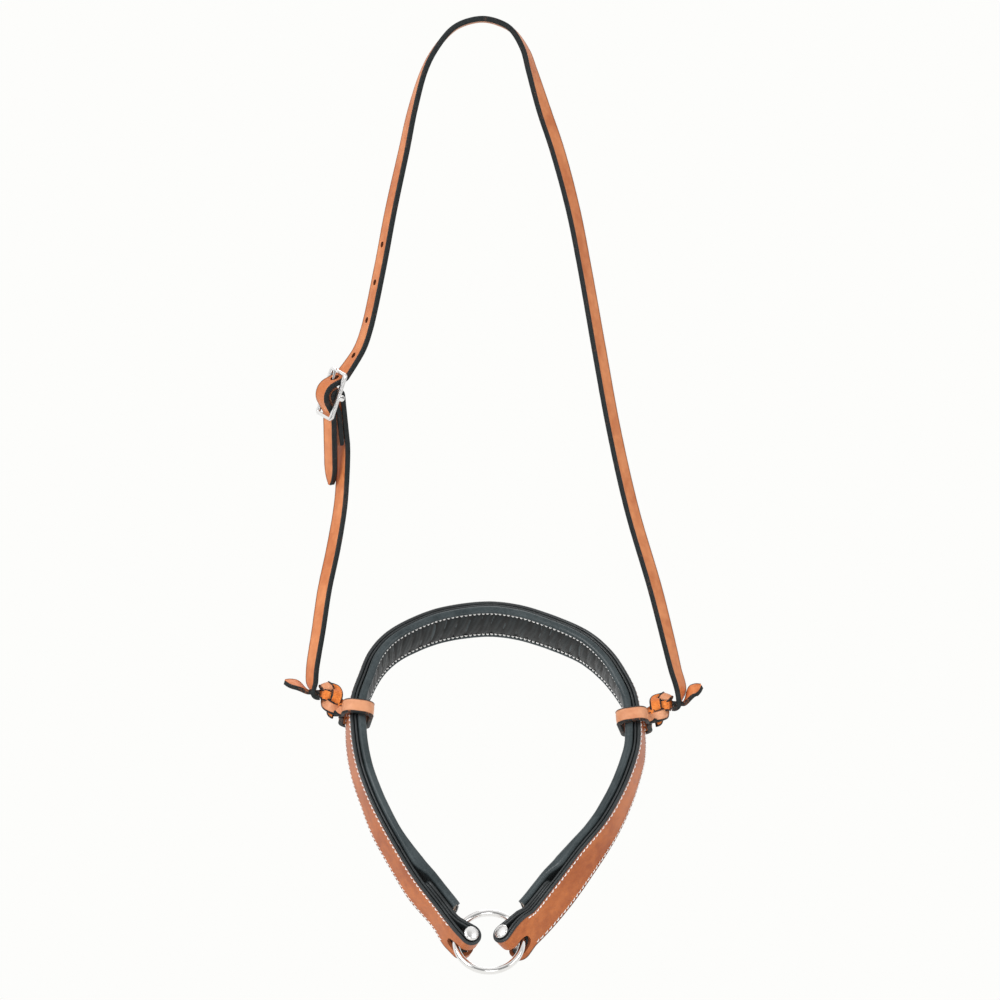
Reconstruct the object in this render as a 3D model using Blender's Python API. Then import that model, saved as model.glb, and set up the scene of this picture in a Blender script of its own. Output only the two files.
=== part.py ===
"""Bridle noseband: a padded band on a buckled crown strap, with a ring that joins its folded ends.

Lengths are metres. +X is the horse's left-right line, +Y points away from the viewer, +Z is up.
The origin is the inner top of the crown, the point that the whole thing hangs from.
"""

import math

import bmesh
import bpy
import numpy as np
from mathutils import Matrix, Vector

# leather and gaps
SEAT_GAP = 0.0003
EDGE_ROUND = 0.0007
OVERRUN = 0.004
WIDE_EASE_SHARE = 0.40
DEEP_EASE_SHARE = 0.35
QUARTER_TURN = math.radians(90)
HALF_TURN = math.radians(180)
FULL_TURN = math.radians(360)

# crown and cheek straps
STRAP_WIDTH = 0.0127
STRAP_THICKNESS = 0.0036
HEAD_DROP = 0.4342
HEAD_SPACING = 0.016
FINE_SPACING = 0.0022
BEND_STEP = math.radians(9)
CURVE_STEPS = 24
CROWN_LEFT_SHARES = (
    (0.113, 0.001, 0.00), (0.194, 0.012, 0.02), (0.294, 0.041, 0.10), (0.359, 0.071, 0.15),
    (0.432, 0.130, 0.30), (0.484, 0.189, 0.38), (0.564, 0.277, 0.44), (0.634, 0.366, 0.45),
    (0.714, 0.454, 0.46), (0.760, 0.484, 0.50),
)
CROWN_RIGHT_SHARES = (
    (1.045, 0.984, 0.42), (1.017, 0.955, 0.50), (0.992, 0.926, 0.55), (0.912, 0.837, 0.60),
    (0.788, 0.719, 0.60), (0.692, 0.601, 0.58),
    (0.615, 0.484, 0.58), (0.540, 0.366, 0.56), (0.477, 0.277, 0.58), (0.393, 0.189, 0.62),
    (0.322, 0.130, 0.60), (0.257, 0.071, 0.40), (0.222, 0.041, 0.25), (0.153, 0.012, 0.08),
    (0.085, 0.001, 0.00),
)
CHEEK_LEFT_SHARES = (
    (0.866, 0.680, 0.52, 0.15), (0.880, 0.719, 0.54, 0.12), (0.921, 0.778, 0.58, 0.07),
    (0.972, 0.837, 0.58, 0.03),
    (1.008, 0.896, 0.56), (1.046, 0.955, 0.50), (1.048, 0.975, 0.42),
)
HOLE_RADIUS = 0.00195
HOLE_PITCH = 0.0247
HOLE_COUNT = 4
HOLE_SIDES = 12
TONGUE_HOLE_REACH = 0.0048
BILLET_TAIL = 0.047
BILLET_TAIL_SHARES = (0.2, 0.4, 0.6, 0.8, 1.0)
TIP_LENGTH = 0.010
TIP_MARGIN_SHARE = 1.05
TIP_SHARES = ((0.35, 0.97), (0.62, 0.84), (0.82, 0.62), (0.94, 0.42), (1.0, 0.26))
SQUARE_TIP_SHARES = ((0.75, 1.0), (0.92, 0.94), (1.0, 0.84))

# buckle
BAR_RADIUS = 0.0013
BAR_PITCH = 0.0149
BUCKLE_INSIDE = 0.0140
SIDE_BAR_WIDTH = 0.0036
SIDE_BAR_DEPTH = 0.0026
BUCKLE_CORNER = 0.0030
BOSS_RADIUS = 0.0024
BOSS_REACH = 0.0006
BOSS_SHOULDER_SHARE = 0.7
BOSS_END_SHARE = 0.6
BAR_LAP = 0.0007
BAR_SIDES = 12
BUCKLE_STEP = math.radians(23.4)
BAR_DROP = 0.0018
ROCK_GAP = 0.0009
BILLET_SLACK = 0.0012
BUCKLE_PLACE_SHARES = (0.929, 0.548)
BUCKLE_ACROSS = Vector((-0.50, 0.82, 0.27)).normalized()
BUCKLE_DOWN = Vector((-0.34, 0.16, -0.93)).normalized()
BILLET_ENTRY = math.radians(13)
CHAPE_LEAN = math.radians(-27)
TAIL_LEAN = math.radians(-22)
CHAPE_RETURN = 0.034
CHAPE_RETURN_SHARES = (0.5, 1.0)
CHAPE_END_WIDTH_SHARE = 0.94
CHAPE_END_DEPTH_SHARE = 0.70
CHAPE_SLOT = 0.0050
CHAPE_SLOT_SHARE = 0.62
TONGUE_RADIUS = 0.0010
TONGUE_EYE_GAP = 0.0003
TONGUE_OVERHANG = 0.0022
TONGUE_LEAVE = math.radians(145)
TONGUE_WRAP = math.radians(300)
TONGUE_WRAP_STEPS = 14
TONGUE_SHARES = (0.15, 0.4, 0.8, 0.93, 1.0)
TONGUE_BOW = 0.0005
TONGUE_TIP_SHARE = 0.6
TONGUE_SIDES = 8
CROSSING_STEPS = 20

# knots and side loops
KNOT_REACH = 0.0206
KNOT_RISE = 0.0035
LOOP_WIDTH = 0.0100
LOOP_THICKNESS = 0.0030
LOOP_CLEARANCE = 0.0013
LOOP_CORNER = 0.0044
THROAT_CORNER = 0.0024
LEFT_LOOP_HEIGHT = -0.0098
RIGHT_LOOP_HEIGHT = -0.0140
BRAID_STEPS = 26
BRAID_TURNS = 1
BRAID_LEAD_SHARE = 0.42
HOOK_RADIUS = 0.0032
HOOK_STEPS = 5
SLIT_TAPER = 0.012
SLIT_ROOM = 0.0002
SLIT_OVERRUN = 0.001
TAIL_NECK_WIDTH = 0.0072
TAIL_WIDTH = 0.0102
TAIL_NECK = 0.0075
TAIL_NECK_SHARE = 0.8
TAIL_TIP = 0.006
TAIL_SAG_SHARE = 0.12
LEFT_TAIL_REACH = (0.0228, 0.0078)
RIGHT_TAIL_REACH = (0.0192, 0.0135)
LEFT_TAIL_ROLL = math.radians(32)
RIGHT_TAIL_ROLL = math.radians(56)

# noseband
BAND_WIDTH = 0.0254
BAND_LEATHER = 0.0024
BAND_LINING = 0.0016
BAND_CENTRE = 0.0083
BAND_HALF_SPREAD = 0.0920
BAND_RISE = 0.0650
BAND_DROP = 0.1620
TILT_AT_RING = math.radians(12)
TILT_AT_NOSE = math.radians(38)
BAND_STATIONS = 60
BAND_SHARES = (
    (-0.390, -0.907, 20), (-0.554, -0.790, 20), (-0.685, -0.667, 17), (-0.800, -0.546, 15),
    (-0.891, -0.420, 10), (-0.960, -0.296, 9), (-0.997, -0.160, 9), (-0.995, -0.030, 7),
    (-0.935, 0.190, 4), (-0.862, 0.440, 1), (-0.735, 0.660, 0), (-0.467, 0.885, 0),
    (-0.250, 0.970, 0), (-0.040, 1.000, 0), (0.126, 0.970, 0), (0.300, 0.892, 0),
    (0.628, 0.658, 0), (0.788, 0.435, 1), (0.890, 0.210, 4), (0.965, -0.010, 7),
    (0.992, -0.110, 9), (0.990, -0.220, 9), (0.960, -0.297, 10), (0.883, -0.423, 14),
    (0.770, -0.550, 20), (0.613, -0.678, 31), (0.460, -0.800, 37), (0.288, -0.920, 40),
)
LEFT_END_HEADING = math.radians(-47)
RIGHT_END_HEADING = math.radians(-126)
LEFT_END_FLARE = math.radians(22)
RIGHT_END_FLARE = math.radians(40)
END_STRAIGHT = 0.009
RETURN_LENGTH = 0.045
RETURN_BEND = 0.020
RETURN_SWING = math.radians(20)
RETURN_SHARES = (0.34, 0.67, 0.88, 1.0)
MITRE_SHARE = 0.5
SLOT_WIDTH = 0.0095
LEFT_SLOT_SHIFT = 0.0018
RIGHT_SLOT_SHIFT = 0.0028
MAIN_SLOT = 0.0085
RETURN_SLOT = 0.0180

# nose pad
PAD_HALF_WIDTH = 0.0145
PAD_THICKNESS = 0.0060
PAD_COVER = 0.0010
PAD_BACKING = 0.0010
PAD_GAP = 0.0005
PAD_START = 0.0210
PAD_SETTLE = 0.016
PAD_SETTLE_SHARES = (0.0, 0.25, 0.5, 0.75, 1.0)
PAD_MARGIN_SHARE = 1.05
PAD_SKIPPED_STATIONS = 2
PAD_LIP_SHARE = 0.80
PAD_OUTLINE_SHARES = (
    (0.80, 0.00), (0.95, 0.05), (1.00, 0.40), (0.955, 0.76), (0.85, 0.88), (0.75, 0.76), (0.42, 0.95),
)

# ring and pins
RING_SIDE_SHARE = -0.047
RING_RADIUS = 0.0209
WIRE_RADIUS = 0.00225
RING_TILT = math.radians(33)
PIN_RADIUS = 0.0025
PIN_BORE = 0.0015
SCREW_RADIUS = 0.0012
SCREW_LENGTH = 0.0090
HEAD_RADIUS = 0.00475
HEAD_RISE = 0.0024
HEAD_RIM = 0.0007
DOME_STEPS = 5
PIN_STAND = 0.0061

# facets
TURN_STEP = math.radians(18)
FOLD_STEP = math.radians(20)
RING_SIDES = 40
WIRE_SIDES = 10
PIN_SIDES = 20


def clear_scene():
    for item in list(bpy.data.objects):
        bpy.data.objects.remove(item, do_unlink=True)


def make_material(name, colour, roughness, metallic=0.0):
    material = bpy.data.materials.new(name)
    material.use_nodes = True
    shader = material.node_tree.nodes["Principled BSDF"]
    shader.inputs["Base Color"].default_value = (*colour, 1.0)
    shader.inputs["Roughness"].default_value = roughness
    shader.inputs["Metallic"].default_value = metallic
    return material


def make_materials():
    return {
        "strap": make_material("strap_leather", (0.60, 0.24, 0.09), 0.48),
        "band": make_material("band_leather", (0.44, 0.15, 0.045), 0.46),
        "loop": make_material("loop_leather", (0.64, 0.26, 0.10), 0.50),
        "lining": make_material("lining_leather", (0.045, 0.055, 0.06), 0.55),
        "pad": make_material("pad_leather", (0.04, 0.05, 0.055), 0.45),
        "foam": make_material("pad_foam", (0.55, 0.53, 0.48), 0.95),
        "metal": make_material("plated_steel", (0.80, 0.79, 0.77), 0.12, 1.0),
    }


def make_empty(name, place, parent=None):
    """An empty on a joint's axis, at a place in the world."""
    empty = bpy.data.objects.new(name, None)
    bpy.context.scene.collection.objects.link(empty)
    empty["place"] = list(place)
    if parent is not None:
        empty.parent = parent
    empty.location = Vector(place) - world_place(parent)
    return empty


def world_place(empty):
    return Vector((0, 0, 0)) if empty is None else Vector(empty["place"])


def make_object(name, mesh_data, material, parent, smooth=math.radians(40)):
    """An object whose origin is its parent empty, from a bmesh in world coordinates."""
    bmesh.ops.recalc_face_normals(mesh_data, faces=mesh_data.faces)
    bmesh.ops.triangulate(mesh_data, faces=mesh_data.faces, ngon_method="EAR_CLIP")
    mesh_data.transform(Matrix.Translation(-world_place(parent)))
    mesh = bpy.data.meshes.new(name)
    mesh_data.to_mesh(mesh)
    mesh_data.free()
    mesh.materials.append(material)
    mesh.shade_smooth()
    mesh.set_sharp_from_angle(angle=smooth)
    item = bpy.data.objects.new(name, mesh)
    bpy.context.scene.collection.objects.link(item)
    item.parent = parent
    return item


def loft(sections, closed=False):
    """A bmesh skinned over rings of points, capped at both ends unless it closes on itself."""
    skin = bmesh.new()
    rings = [[skin.verts.new(point) for point in section] for section in sections]
    count = len(rings[0])
    pairs = list(zip(rings, rings[1:]))
    if closed:
        pairs.append((rings[-1], rings[0]))
    for ring, following in pairs:
        for index in range(count):
            after = (index + 1) % count
            skin.faces.new((ring[index], ring[after], following[after], following[index]))
    if not closed:
        skin.faces.new(rings[0][::-1])
        skin.faces.new(rings[-1])
    return skin


def cutter_object(name, mesh_data, parent):
    bmesh.ops.recalc_face_normals(mesh_data, faces=mesh_data.faces)
    bmesh.ops.triangulate(mesh_data, faces=mesh_data.faces, ngon_method="EAR_CLIP")
    mesh_data.transform(Matrix.Translation(-world_place(parent)))
    mesh = bpy.data.meshes.new(name)
    mesh_data.to_mesh(mesh)
    mesh_data.free()
    item = bpy.data.objects.new(name, mesh)
    bpy.context.scene.collection.objects.link(item)
    item.parent = parent
    item.hide_render = True
    item.display_type = "WIRE"
    return item


def combine(target, other, operation):
    change = target.modifiers.new(other.name, "BOOLEAN")
    change.operation = operation
    change.solver = "EXACT"
    change.object = other


def cylinder(start, end, radius, sides):
    """A capped cylinder between two points."""
    axis = (end - start).normalized()
    side = axis.orthogonal().normalized()
    other = axis.cross(side)
    ring = []
    for index in range(sides):
        angle = FULL_TURN * index / sides
        ring.append(side * (radius * math.cos(angle)) + other * (radius * math.sin(angle)))
    return loft([[start + spoke for spoke in ring], [end + spoke for spoke in ring]])


def revolve(start, axis, profile, sides):
    """A solid turned about an axis from a profile of (along, radius) pairs, closed at both ends."""
    side = axis.orthogonal().normalized()
    other = axis.cross(side)
    sections = []
    for along, radius in profile:
        middle = start + axis * along
        section = []
        for index in range(sides):
            angle = FULL_TURN * index / sides
            spoke = side * math.cos(angle) + other * math.sin(angle)
            section.append(middle + spoke * radius)
        sections.append(section)
    return loft(sections)


def blended_row(rows, knots, at):
    """The place between the two middle rows of four, blended pair by pair."""
    spans = (((0, 1), (1, 2), (2, 3)), ((0, 2), (1, 3)), ((1, 2),))
    for pairs in spans:
        blended = []
        for row, following, (low, high) in zip(rows, rows[1:], pairs):
            part = (at - knots[low]) / (knots[high] - knots[low])
            blended.append(row * (1 - part) + following * part)
        rows = blended
    return rows[0]


def smooth_rows(rows, lead_in, lead_out, spacing):
    """Rows at an even spacing along one smooth curve through the given rows.

    The first three numbers of a row are its place, and the others follow along.
    """
    guided = [np.array(row, float) for row in [lead_in, *rows, lead_out]]
    fine = []
    for four in zip(guided, guided[1:], guided[2:], guided[3:]):
        knots = [0.0]
        for here, there in zip(four, four[1:]):
            knots.append(knots[-1] + math.sqrt(np.linalg.norm((there - here)[:3])))
        for step in range(CURVE_STEPS):
            at = knots[1] + (knots[2] - knots[1]) * step / CURVE_STEPS
            fine.append(blended_row(four, knots, at))
    fine.append(guided[-2])
    return spaced_rows(np.array(fine), spacing)


def spaced_rows(fine, spacing):
    """The rows thinned to a spacing, and kept closer where the path bends."""
    runs = np.diff(fine[:, :3], axis=0)
    lengths = np.linalg.norm(runs, axis=1)
    ways = runs / lengths[:, None]
    bends = np.arccos(np.clip(np.sum(ways[1:] * ways[:-1], axis=1), -1.0, 1.0))
    steps = lengths / spacing
    steps[1:] += bends / BEND_STEP
    along = np.concatenate([[0.0], np.cumsum(steps)])
    count = max(2, int(round(along[-1])) + 1)
    wanted = np.linspace(0.0, along[-1], count)
    columns = [np.interp(wanted, along, fine[:, column]) for column in range(fine.shape[1])]
    return [np.array(values) for values in zip(*columns)]


def belt(circles, first_heading, last_heading, step):
    """Points of a path that passes round circles in turn, as a belt passes pulleys.

    Each circle is (centre, radius, turn): turn is 1 where it lies left of the path, -1 right.
    """
    headings = [first_heading]
    for (start, start_radius, start_turn), (end, end_radius, end_turn) in zip(circles, circles[1:]):
        apart = math.hypot(end[0] - start[0], end[1] - start[1])
        bearing = math.atan2(end[1] - start[1], end[0] - start[0])
        offset = (end_turn * end_radius - start_turn * start_radius) / apart
        headings.append(bearing - math.asin(offset))
    headings.append(last_heading)
    points = []
    for (centre, radius, turn), arriving, leaving in zip(circles, headings, headings[1:]):
        while turn * (leaving - arriving) < -step:
            leaving += turn * FULL_TURN
        count = max(1, math.ceil(abs(leaving - arriving) / step))
        for index in range(count + 1):
            heading = arriving + (leaving - arriving) * index / count
            points.append((
                centre[0] + turn * radius * math.sin(heading),
                centre[1] - turn * radius * math.cos(heading),
            ))
    return points


def rounded_route(corners, radii, step):
    """A path of straight runs through the given corners, each turned on its own radius."""
    places = [Vector(corner) for corner in corners]
    points = [places[0]]
    for before, corner, after, radius in zip(places, places[1:], places[2:], radii):
        arriving = (corner - before).normalized()
        leaving = (after - corner).normalized()
        turn = math.atan2(arriving.x * leaving.y - arriving.y * leaving.x, arriving.dot(leaving))
        reach = radius * math.tan(abs(turn) / 2)
        side = Vector((-arriving.y, arriving.x)) * math.copysign(1, turn)
        centre = corner - arriving * reach + side * radius
        count = max(1, math.ceil(abs(turn) / step))
        for index in range(count + 1):
            angle = turn * index / count
            spoke = Matrix.Rotation(angle, 2) @ (-side)
            points.append(centre + spoke * radius)
    points.append(places[-1])
    return points


def strap_section(centre, across, outward, half_width, thickness):
    """The eight corners of a strap's section, its edges eased."""
    ease = min(EDGE_ROUND, half_width * WIDE_EASE_SHARE, thickness * DEEP_EASE_SHARE)
    half = thickness / 2
    corners = (
        (ease - half_width, -half), (half_width - ease, -half),
        (half_width, ease - half), (half_width, half - ease),
        (half_width - ease, half), (ease - half_width, half),
        (-half_width, half - ease), (-half_width, ease - half),
    )
    return [centre + across * side + outward * up for side, up in corners]


def tangents(points):
    found = []
    for index in range(len(points)):
        before = points[max(0, index - 1)]
        after = points[min(len(points) - 1, index + 1)]
        found.append((after - before).normalized())
    return found


def distances(points):
    along = [0.0]
    for here, there in zip(points, points[1:]):
        along.append(along[-1] + (there - here).length)
    return along


def tip_width(left_over, length, shares):
    """The share of full width that a strap keeps this far from its tip."""
    gone = 1 - min(1.0, left_over / length)
    table = [(0.0, 1.0), *shares]
    for (start, wide), (end, narrow) in zip(table, table[1:]):
        if gone <= end:
            return wide + (narrow - wide) * (gone - start) / (end - start)
    return table[-1][1]


def add_tip_points(points, sides, length, shares):
    """Cuts the last run so that a point lies at each place of the tip's outline."""
    end, before = points[-1], points[-2]
    way = (end - before).normalized()
    kept = [point for point in points if (end - point).length > length * TIP_MARGIN_SHARE]
    kept_sides = sides[: len(kept)]
    for gone, _ in [(0.0, 1.0), *shares]:
        kept.append(end - way * (length * (1 - gone)))
        kept_sides.append(sides[-1])
    return kept, kept_sides


class Frame2D:
    """A plane in the world with a first and a second axis, and across square to both."""

    def __init__(self, origin, first, second, across):
        self.origin = origin
        self.first = first
        self.second = second
        self.across = across

    def place(self, point, side=0.0):
        return self.origin + self.first * point[0] + self.second * point[1] + self.across * side


def knot_places():
    """The two points where the cheeks hand over to the side loops."""
    reach = BAND_HALF_SPREAD + KNOT_REACH
    left = Vector((BAND_CENTRE - reach, 0, KNOT_RISE - HEAD_DROP))
    right = Vector((BAND_CENTRE + reach, 0, -KNOT_RISE - HEAD_DROP))
    return left, right


KNOT_LEFT, KNOT_RIGHT = knot_places()
SWING_CENTRE = (KNOT_LEFT + KNOT_RIGHT) / 2
SWING_AXIS = (KNOT_RIGHT - KNOT_LEFT).normalized()
UP = Vector((0, 0, 1))
BACK = Vector((0, 1, 0))


def head_row(shares, knot):
    """Place and across of a headpiece row: shares of the knot's reach and drop, lean, then back."""
    side, drop, lean, *back = shares
    outboard = math.copysign(1, knot.x)
    across = (outboard * lean, math.sqrt(1 - lean * lean), 0.0)
    return (knot.x * side, abs(knot.x) * sum(back), -HEAD_DROP * drop, *across)


def buckle_frame_plane():
    """The plane that the straps weave in, square to the buckle's bars."""
    side, drop = BUCKLE_PLACE_SHARES
    down = (BUCKLE_DOWN - BUCKLE_ACROSS * BUCKLE_DOWN.dot(BUCKLE_ACROSS)).normalized()
    outward = BUCKLE_ACROSS.cross(down).normalized()
    if outward.x > 0:
        outward = -outward
    return Frame2D(Vector((KNOT_LEFT.x * side, 0, -HEAD_DROP * drop)), down, outward, BUCKLE_ACROSS)


WEAVE = buckle_frame_plane()
CHAPE_RADIUS = BAR_RADIUS + SEAT_GAP + STRAP_THICKNESS / 2
LAYER_PITCH = STRAP_THICKNESS + SEAT_GAP
BAR_WRAP = BAR_RADIUS + ROCK_GAP + STRAP_THICKNESS / 2
TOP_BAR = (-BAR_PITCH, 0.0)
LOW_BAR = (BAR_PITCH, 0.0)
MIDDLE_BAR = (0.0, -BAR_DROP)


def billet_route():
    """The crown strap's way under the top bar, over the chape and under the low bar."""
    circles = (
        (TOP_BAR, BAR_WRAP, 1),
        (MIDDLE_BAR, CHAPE_RADIUS + LAYER_PITCH + BILLET_SLACK, -1),
        (LOW_BAR, BAR_WRAP, 1),
    )
    points = belt(circles, BILLET_ENTRY, TAIL_LEAN, FOLD_STEP)
    away = Vector((math.cos(TAIL_LEAN), math.sin(TAIL_LEAN)))
    end = Vector(points[-1])
    for share in BILLET_TAIL_SHARES:
        points.append(tuple(end + away * (BILLET_TAIL * share)))
    return points


def chape_route():
    """From the chape's stitched-down end, round the middle bar and out along the cheek."""
    wrapped = BAR_WRAP + LAYER_PITCH
    outer = belt(
        ((MIDDLE_BAR, CHAPE_RADIUS, -1), (LOW_BAR, wrapped, 1)),
        QUARTER_TURN, CHAPE_LEAN, FOLD_STEP,
    )
    inner = belt(
        ((MIDDLE_BAR, CHAPE_RADIUS, 1), (LOW_BAR, wrapped + LAYER_PITCH, 1)),
        -QUARTER_TURN, CHAPE_LEAN, FOLD_STEP,
    )
    away = Vector((math.cos(CHAPE_LEAN), math.sin(CHAPE_LEAN)))
    end = Vector(outer[-1])
    run = CHAPE_RETURN - end.dot(away)
    for share in CHAPE_RETURN_SHARES:
        outer.append(tuple(end + away * (run * share)))
    last = Vector(inner[-1])
    inner.append(tuple(last + away * run))
    return outer[::-1] + inner[1:]


def crown_path():
    """Places and acrosses of the crown strap, from the right knot to the billet's tip."""
    hook, hook_across = hook_points(KNOT_RIGHT, 1)
    rows = [(*hook[-1], *hook_across[-1])]
    rows += [head_row(shares, KNOT_RIGHT) for shares in CROWN_RIGHT_SHARES]
    rows.append((0.0, 0.0, STRAP_THICKNESS / 2, *BACK))
    rows += [head_row(shares, KNOT_LEFT) for shares in CROWN_LEFT_SHARES]
    woven = [WEAVE.place(point) for point in billet_route()]
    rows.append((*woven[0], *BUCKLE_ACROSS))
    rows = [tuple(row) for row in rows]
    lead_in = (*(hook[-1] - UP * HOOK_RADIUS), *hook_across[-1])
    lead_out = (*woven[1], *BUCKLE_ACROSS)
    smooth = smooth_rows(rows, lead_in, lead_out, HEAD_SPACING)
    points = hook[:-1] + [Vector(row[:3]) for row in smooth] + woven[1:]
    sides = hook_across[:-1] + [Vector(row[3:]) for row in smooth]
    sides += [BUCKLE_ACROSS.copy() for _ in woven[1:]]
    return add_tip_points(points, sides, TIP_LENGTH, TIP_SHARES)


def hook_points(knot, outboard):
    """The curl of a strap's lower end, from the knot's face out and up to the cheek."""
    away = SWING_AXIS * outboard
    strand = (LOOP_THICKNESS + SEAT_GAP) / 2
    centre = knot + away * (SEAT_GAP / 2 + EDGE_ROUND) + UP * (HOOK_RADIUS - strand)
    points = [knot + away * (SEAT_GAP / 2) - UP * strand]
    for index in range(HOOK_STEPS + 1):
        angle = QUARTER_TURN * index / HOOK_STEPS
        spoke = away * math.sin(angle) - UP * math.cos(angle)
        points.append(centre + spoke * HOOK_RADIUS)
    return points, [BACK.copy() for _ in points]


def hook_width(from_knot):
    """Half the width of a strap this far along from the knot's face."""
    share = min(1.0, from_knot / (HOOK_RADIUS * QUARTER_TURN))
    return (LOOP_WIDTH + (STRAP_WIDTH - LOOP_WIDTH) * share) / 2


def strap_sections(points, sides, widths, depths, outward_sign):
    sections = []
    for point, side, way, half_width, depth in zip(points, sides, tangents(points), widths, depths):
        across = (side - way * side.dot(way)).normalized()
        outward = across.cross(way) * outward_sign
        sections.append(strap_section(point, across, outward, half_width, depth))
    return sections


def make_crown_strap(material, parent):
    points, sides = crown_path()
    along = distances(points)
    widths = []
    for here in along:
        narrowing = tip_width(along[-1] - here, TIP_LENGTH, TIP_SHARES)
        widths.append(min(hook_width(here), STRAP_WIDTH / 2 * narrowing))
    depths = knot_depths(along)
    strap = make_object(
        "crown_strap", loft(strap_sections(points, sides, widths, depths, 1)), material, parent
    )
    cut_slit(strap, KNOT_RIGHT, 1, parent)
    middle = tongue_crossing()
    reach = TONGUE_WAY * TONGUE_HOLE_REACH
    cut = cutter_object("tongue_hole", cylinder(middle - reach, middle + reach, HOLE_RADIUS, PIN_SIDES), parent)
    combine(strap, cut, "DIFFERENCE")
    for number, (place, normal) in enumerate(hole_places(points, sides, along, middle)):
        ends = (place - normal * OVERRUN, place + normal * OVERRUN)
        cut = cutter_object(f"punched_hole_{number}", cylinder(*ends, HOLE_RADIUS, HOLE_SIDES), parent)
        combine(strap, cut, "DIFFERENCE")
    return strap


def knot_depths(along):
    """Thickness along a strap, drawn down to the loop's at the knot."""
    depths = []
    for here in along:
        share = min(1.0, here / SLIT_TAPER)
        depths.append(LOOP_THICKNESS + (STRAP_THICKNESS - LOOP_THICKNESS) * share)
    return depths


def hole_places(points, sides, along, middle):
    """Where the spare holes lie, up the crown from the hole that holds the tongue."""
    nearest = min(range(len(points)), key=lambda index: (points[index] - middle).length)
    places = []
    for number in range(1, HOLE_COUNT + 1):
        wanted = along[nearest] - HOLE_PITCH * number
        after = next(index for index, here in enumerate(along) if here > wanted)
        share = (wanted - along[after - 1]) / (along[after] - along[after - 1])
        place = points[after - 1].lerp(points[after], share)
        way = (points[after] - points[after - 1]).normalized()
        places.append((place, sides[after].cross(way).normalized()))
    return places


def cut_slit(strap, knot, outboard, parent):
    """The slit in a strap's end that its tail comes out through."""
    away = SWING_AXIS * outboard
    floor = SEAT_GAP / 2 - SLIT_ROOM
    roof = SEAT_GAP / 2 + LOOP_THICKNESS + 2 * SLIT_ROOM
    half = TAIL_NECK_WIDTH / 2 + SEAT_GAP
    rings = []
    for reach in (-SLIT_OVERRUN, TAIL_NECK + SLIT_OVERRUN):
        middle = knot + away * reach
        ring = []
        for side, up in ((-half, floor), (half, floor), (half, roof), (-half, roof)):
            ring.append(middle + BACK * side + UP * up)
        rings.append(ring)
    combine(strap, cutter_object(f"{strap.name}_slit", loft(rings), parent), "DIFFERENCE")


def make_cheek_strap(material, parent):
    """The left cheek: its chape holds the buckle, and its lower end hooks into the knot."""
    woven = [WEAVE.place(point) for point in chape_route()]
    hook, hook_across = hook_points(KNOT_LEFT, -1)
    rows = [(*woven[-1], *BUCKLE_ACROSS)]
    rows += [head_row(shares, KNOT_LEFT) for shares in CHEEK_LEFT_SHARES]
    rows.append((*hook[-1], *hook_across[-1]))
    lead_in = (*woven[-2], *BUCKLE_ACROSS)
    lead_out = (*(hook[-1] - UP * HOOK_RADIUS), *hook_across[-1])
    smooth = smooth_rows(rows, lead_in, lead_out, HEAD_SPACING)
    points = woven[:-1] + [Vector(row[:3]) for row in smooth] + hook[:-1][::-1]
    sides = [BUCKLE_ACROSS.copy() for _ in woven[:-1]]
    sides += [Vector(row[3:]) for row in smooth] + hook_across[:-1]
    along = distances(points)
    from_knot = [along[-1] - here for here in along]
    depths = knot_depths(from_knot)
    widths = [hook_width(here) for here in from_knot]
    widths[0] *= CHAPE_END_WIDTH_SHARE
    depths[0] *= CHAPE_END_DEPTH_SHARE
    strap = make_object(
        "left_cheek_strap", loft(strap_sections(points, sides, widths, depths, 1)), material, parent
    )
    cut_slit(strap, KNOT_LEFT, -1, parent)
    reach = CHAPE_RADIUS + STRAP_THICKNESS
    inner = reach * CHAPE_SLOT_SHARE
    corners = ((-reach, reach), (inner, reach), (inner, -inner), (-reach, -reach))
    rings = []
    for side in (-CHAPE_SLOT / 2, CHAPE_SLOT / 2):
        rings.append([WEAVE.place(Vector(MIDDLE_BAR) + Vector(corner), side) for corner in corners])
    combine(strap, cutter_object("chape_slot", loft(rings), parent), "DIFFERENCE")
    return strap


def make_tail(name, knot, outboard, reach, roll, material, parent):
    """The free end of a side loop, out through the slit to its rounded tip."""
    away = SWING_AXIS * outboard
    strand = (LOOP_THICKNESS + SEAT_GAP) / 2
    start = knot + away * (SEAT_GAP / 2) + UP * strand
    neck = start + away * TAIL_NECK
    tip = knot + away * reach[0] + UP * reach[1]
    middle = (neck + tip) / 2 - UP * (reach[1] * TAIL_SAG_SHARE)
    level = (*BACK,)
    rolled = (0.0, math.cos(roll), math.sin(roll))
    rows = [(*neck, *level), (*middle, *rolled), (*tip, *rolled)]
    lead_out = (*(tip + (tip - middle)), *rolled)
    smooth = smooth_rows(rows, (*start, *level), lead_out, FINE_SPACING)
    points = [start, start.lerp(neck, TAIL_NECK_SHARE)] + [Vector(row[:3]) for row in smooth]
    sides = [BACK.copy(), BACK.copy()] + [Vector(row[3:]) for row in smooth]
    points, sides = add_tip_points(points, sides, TAIL_TIP, TIP_SHARES)
    along = distances(points)
    widths = []
    for here in along:
        share = min(1.0, max(0.0, (here - TAIL_NECK) / TAIL_NECK))
        full = TAIL_NECK_WIDTH + (TAIL_WIDTH - TAIL_NECK_WIDTH) * share
        widths.append(full / 2 * tip_width(along[-1] - here, TAIL_TIP, TIP_SHARES))
    depths = [LOOP_THICKNESS] * len(points)
    return make_object(
        name, loft(strap_sections(points, sides, widths, depths, outboard)), material, parent
    )


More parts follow.
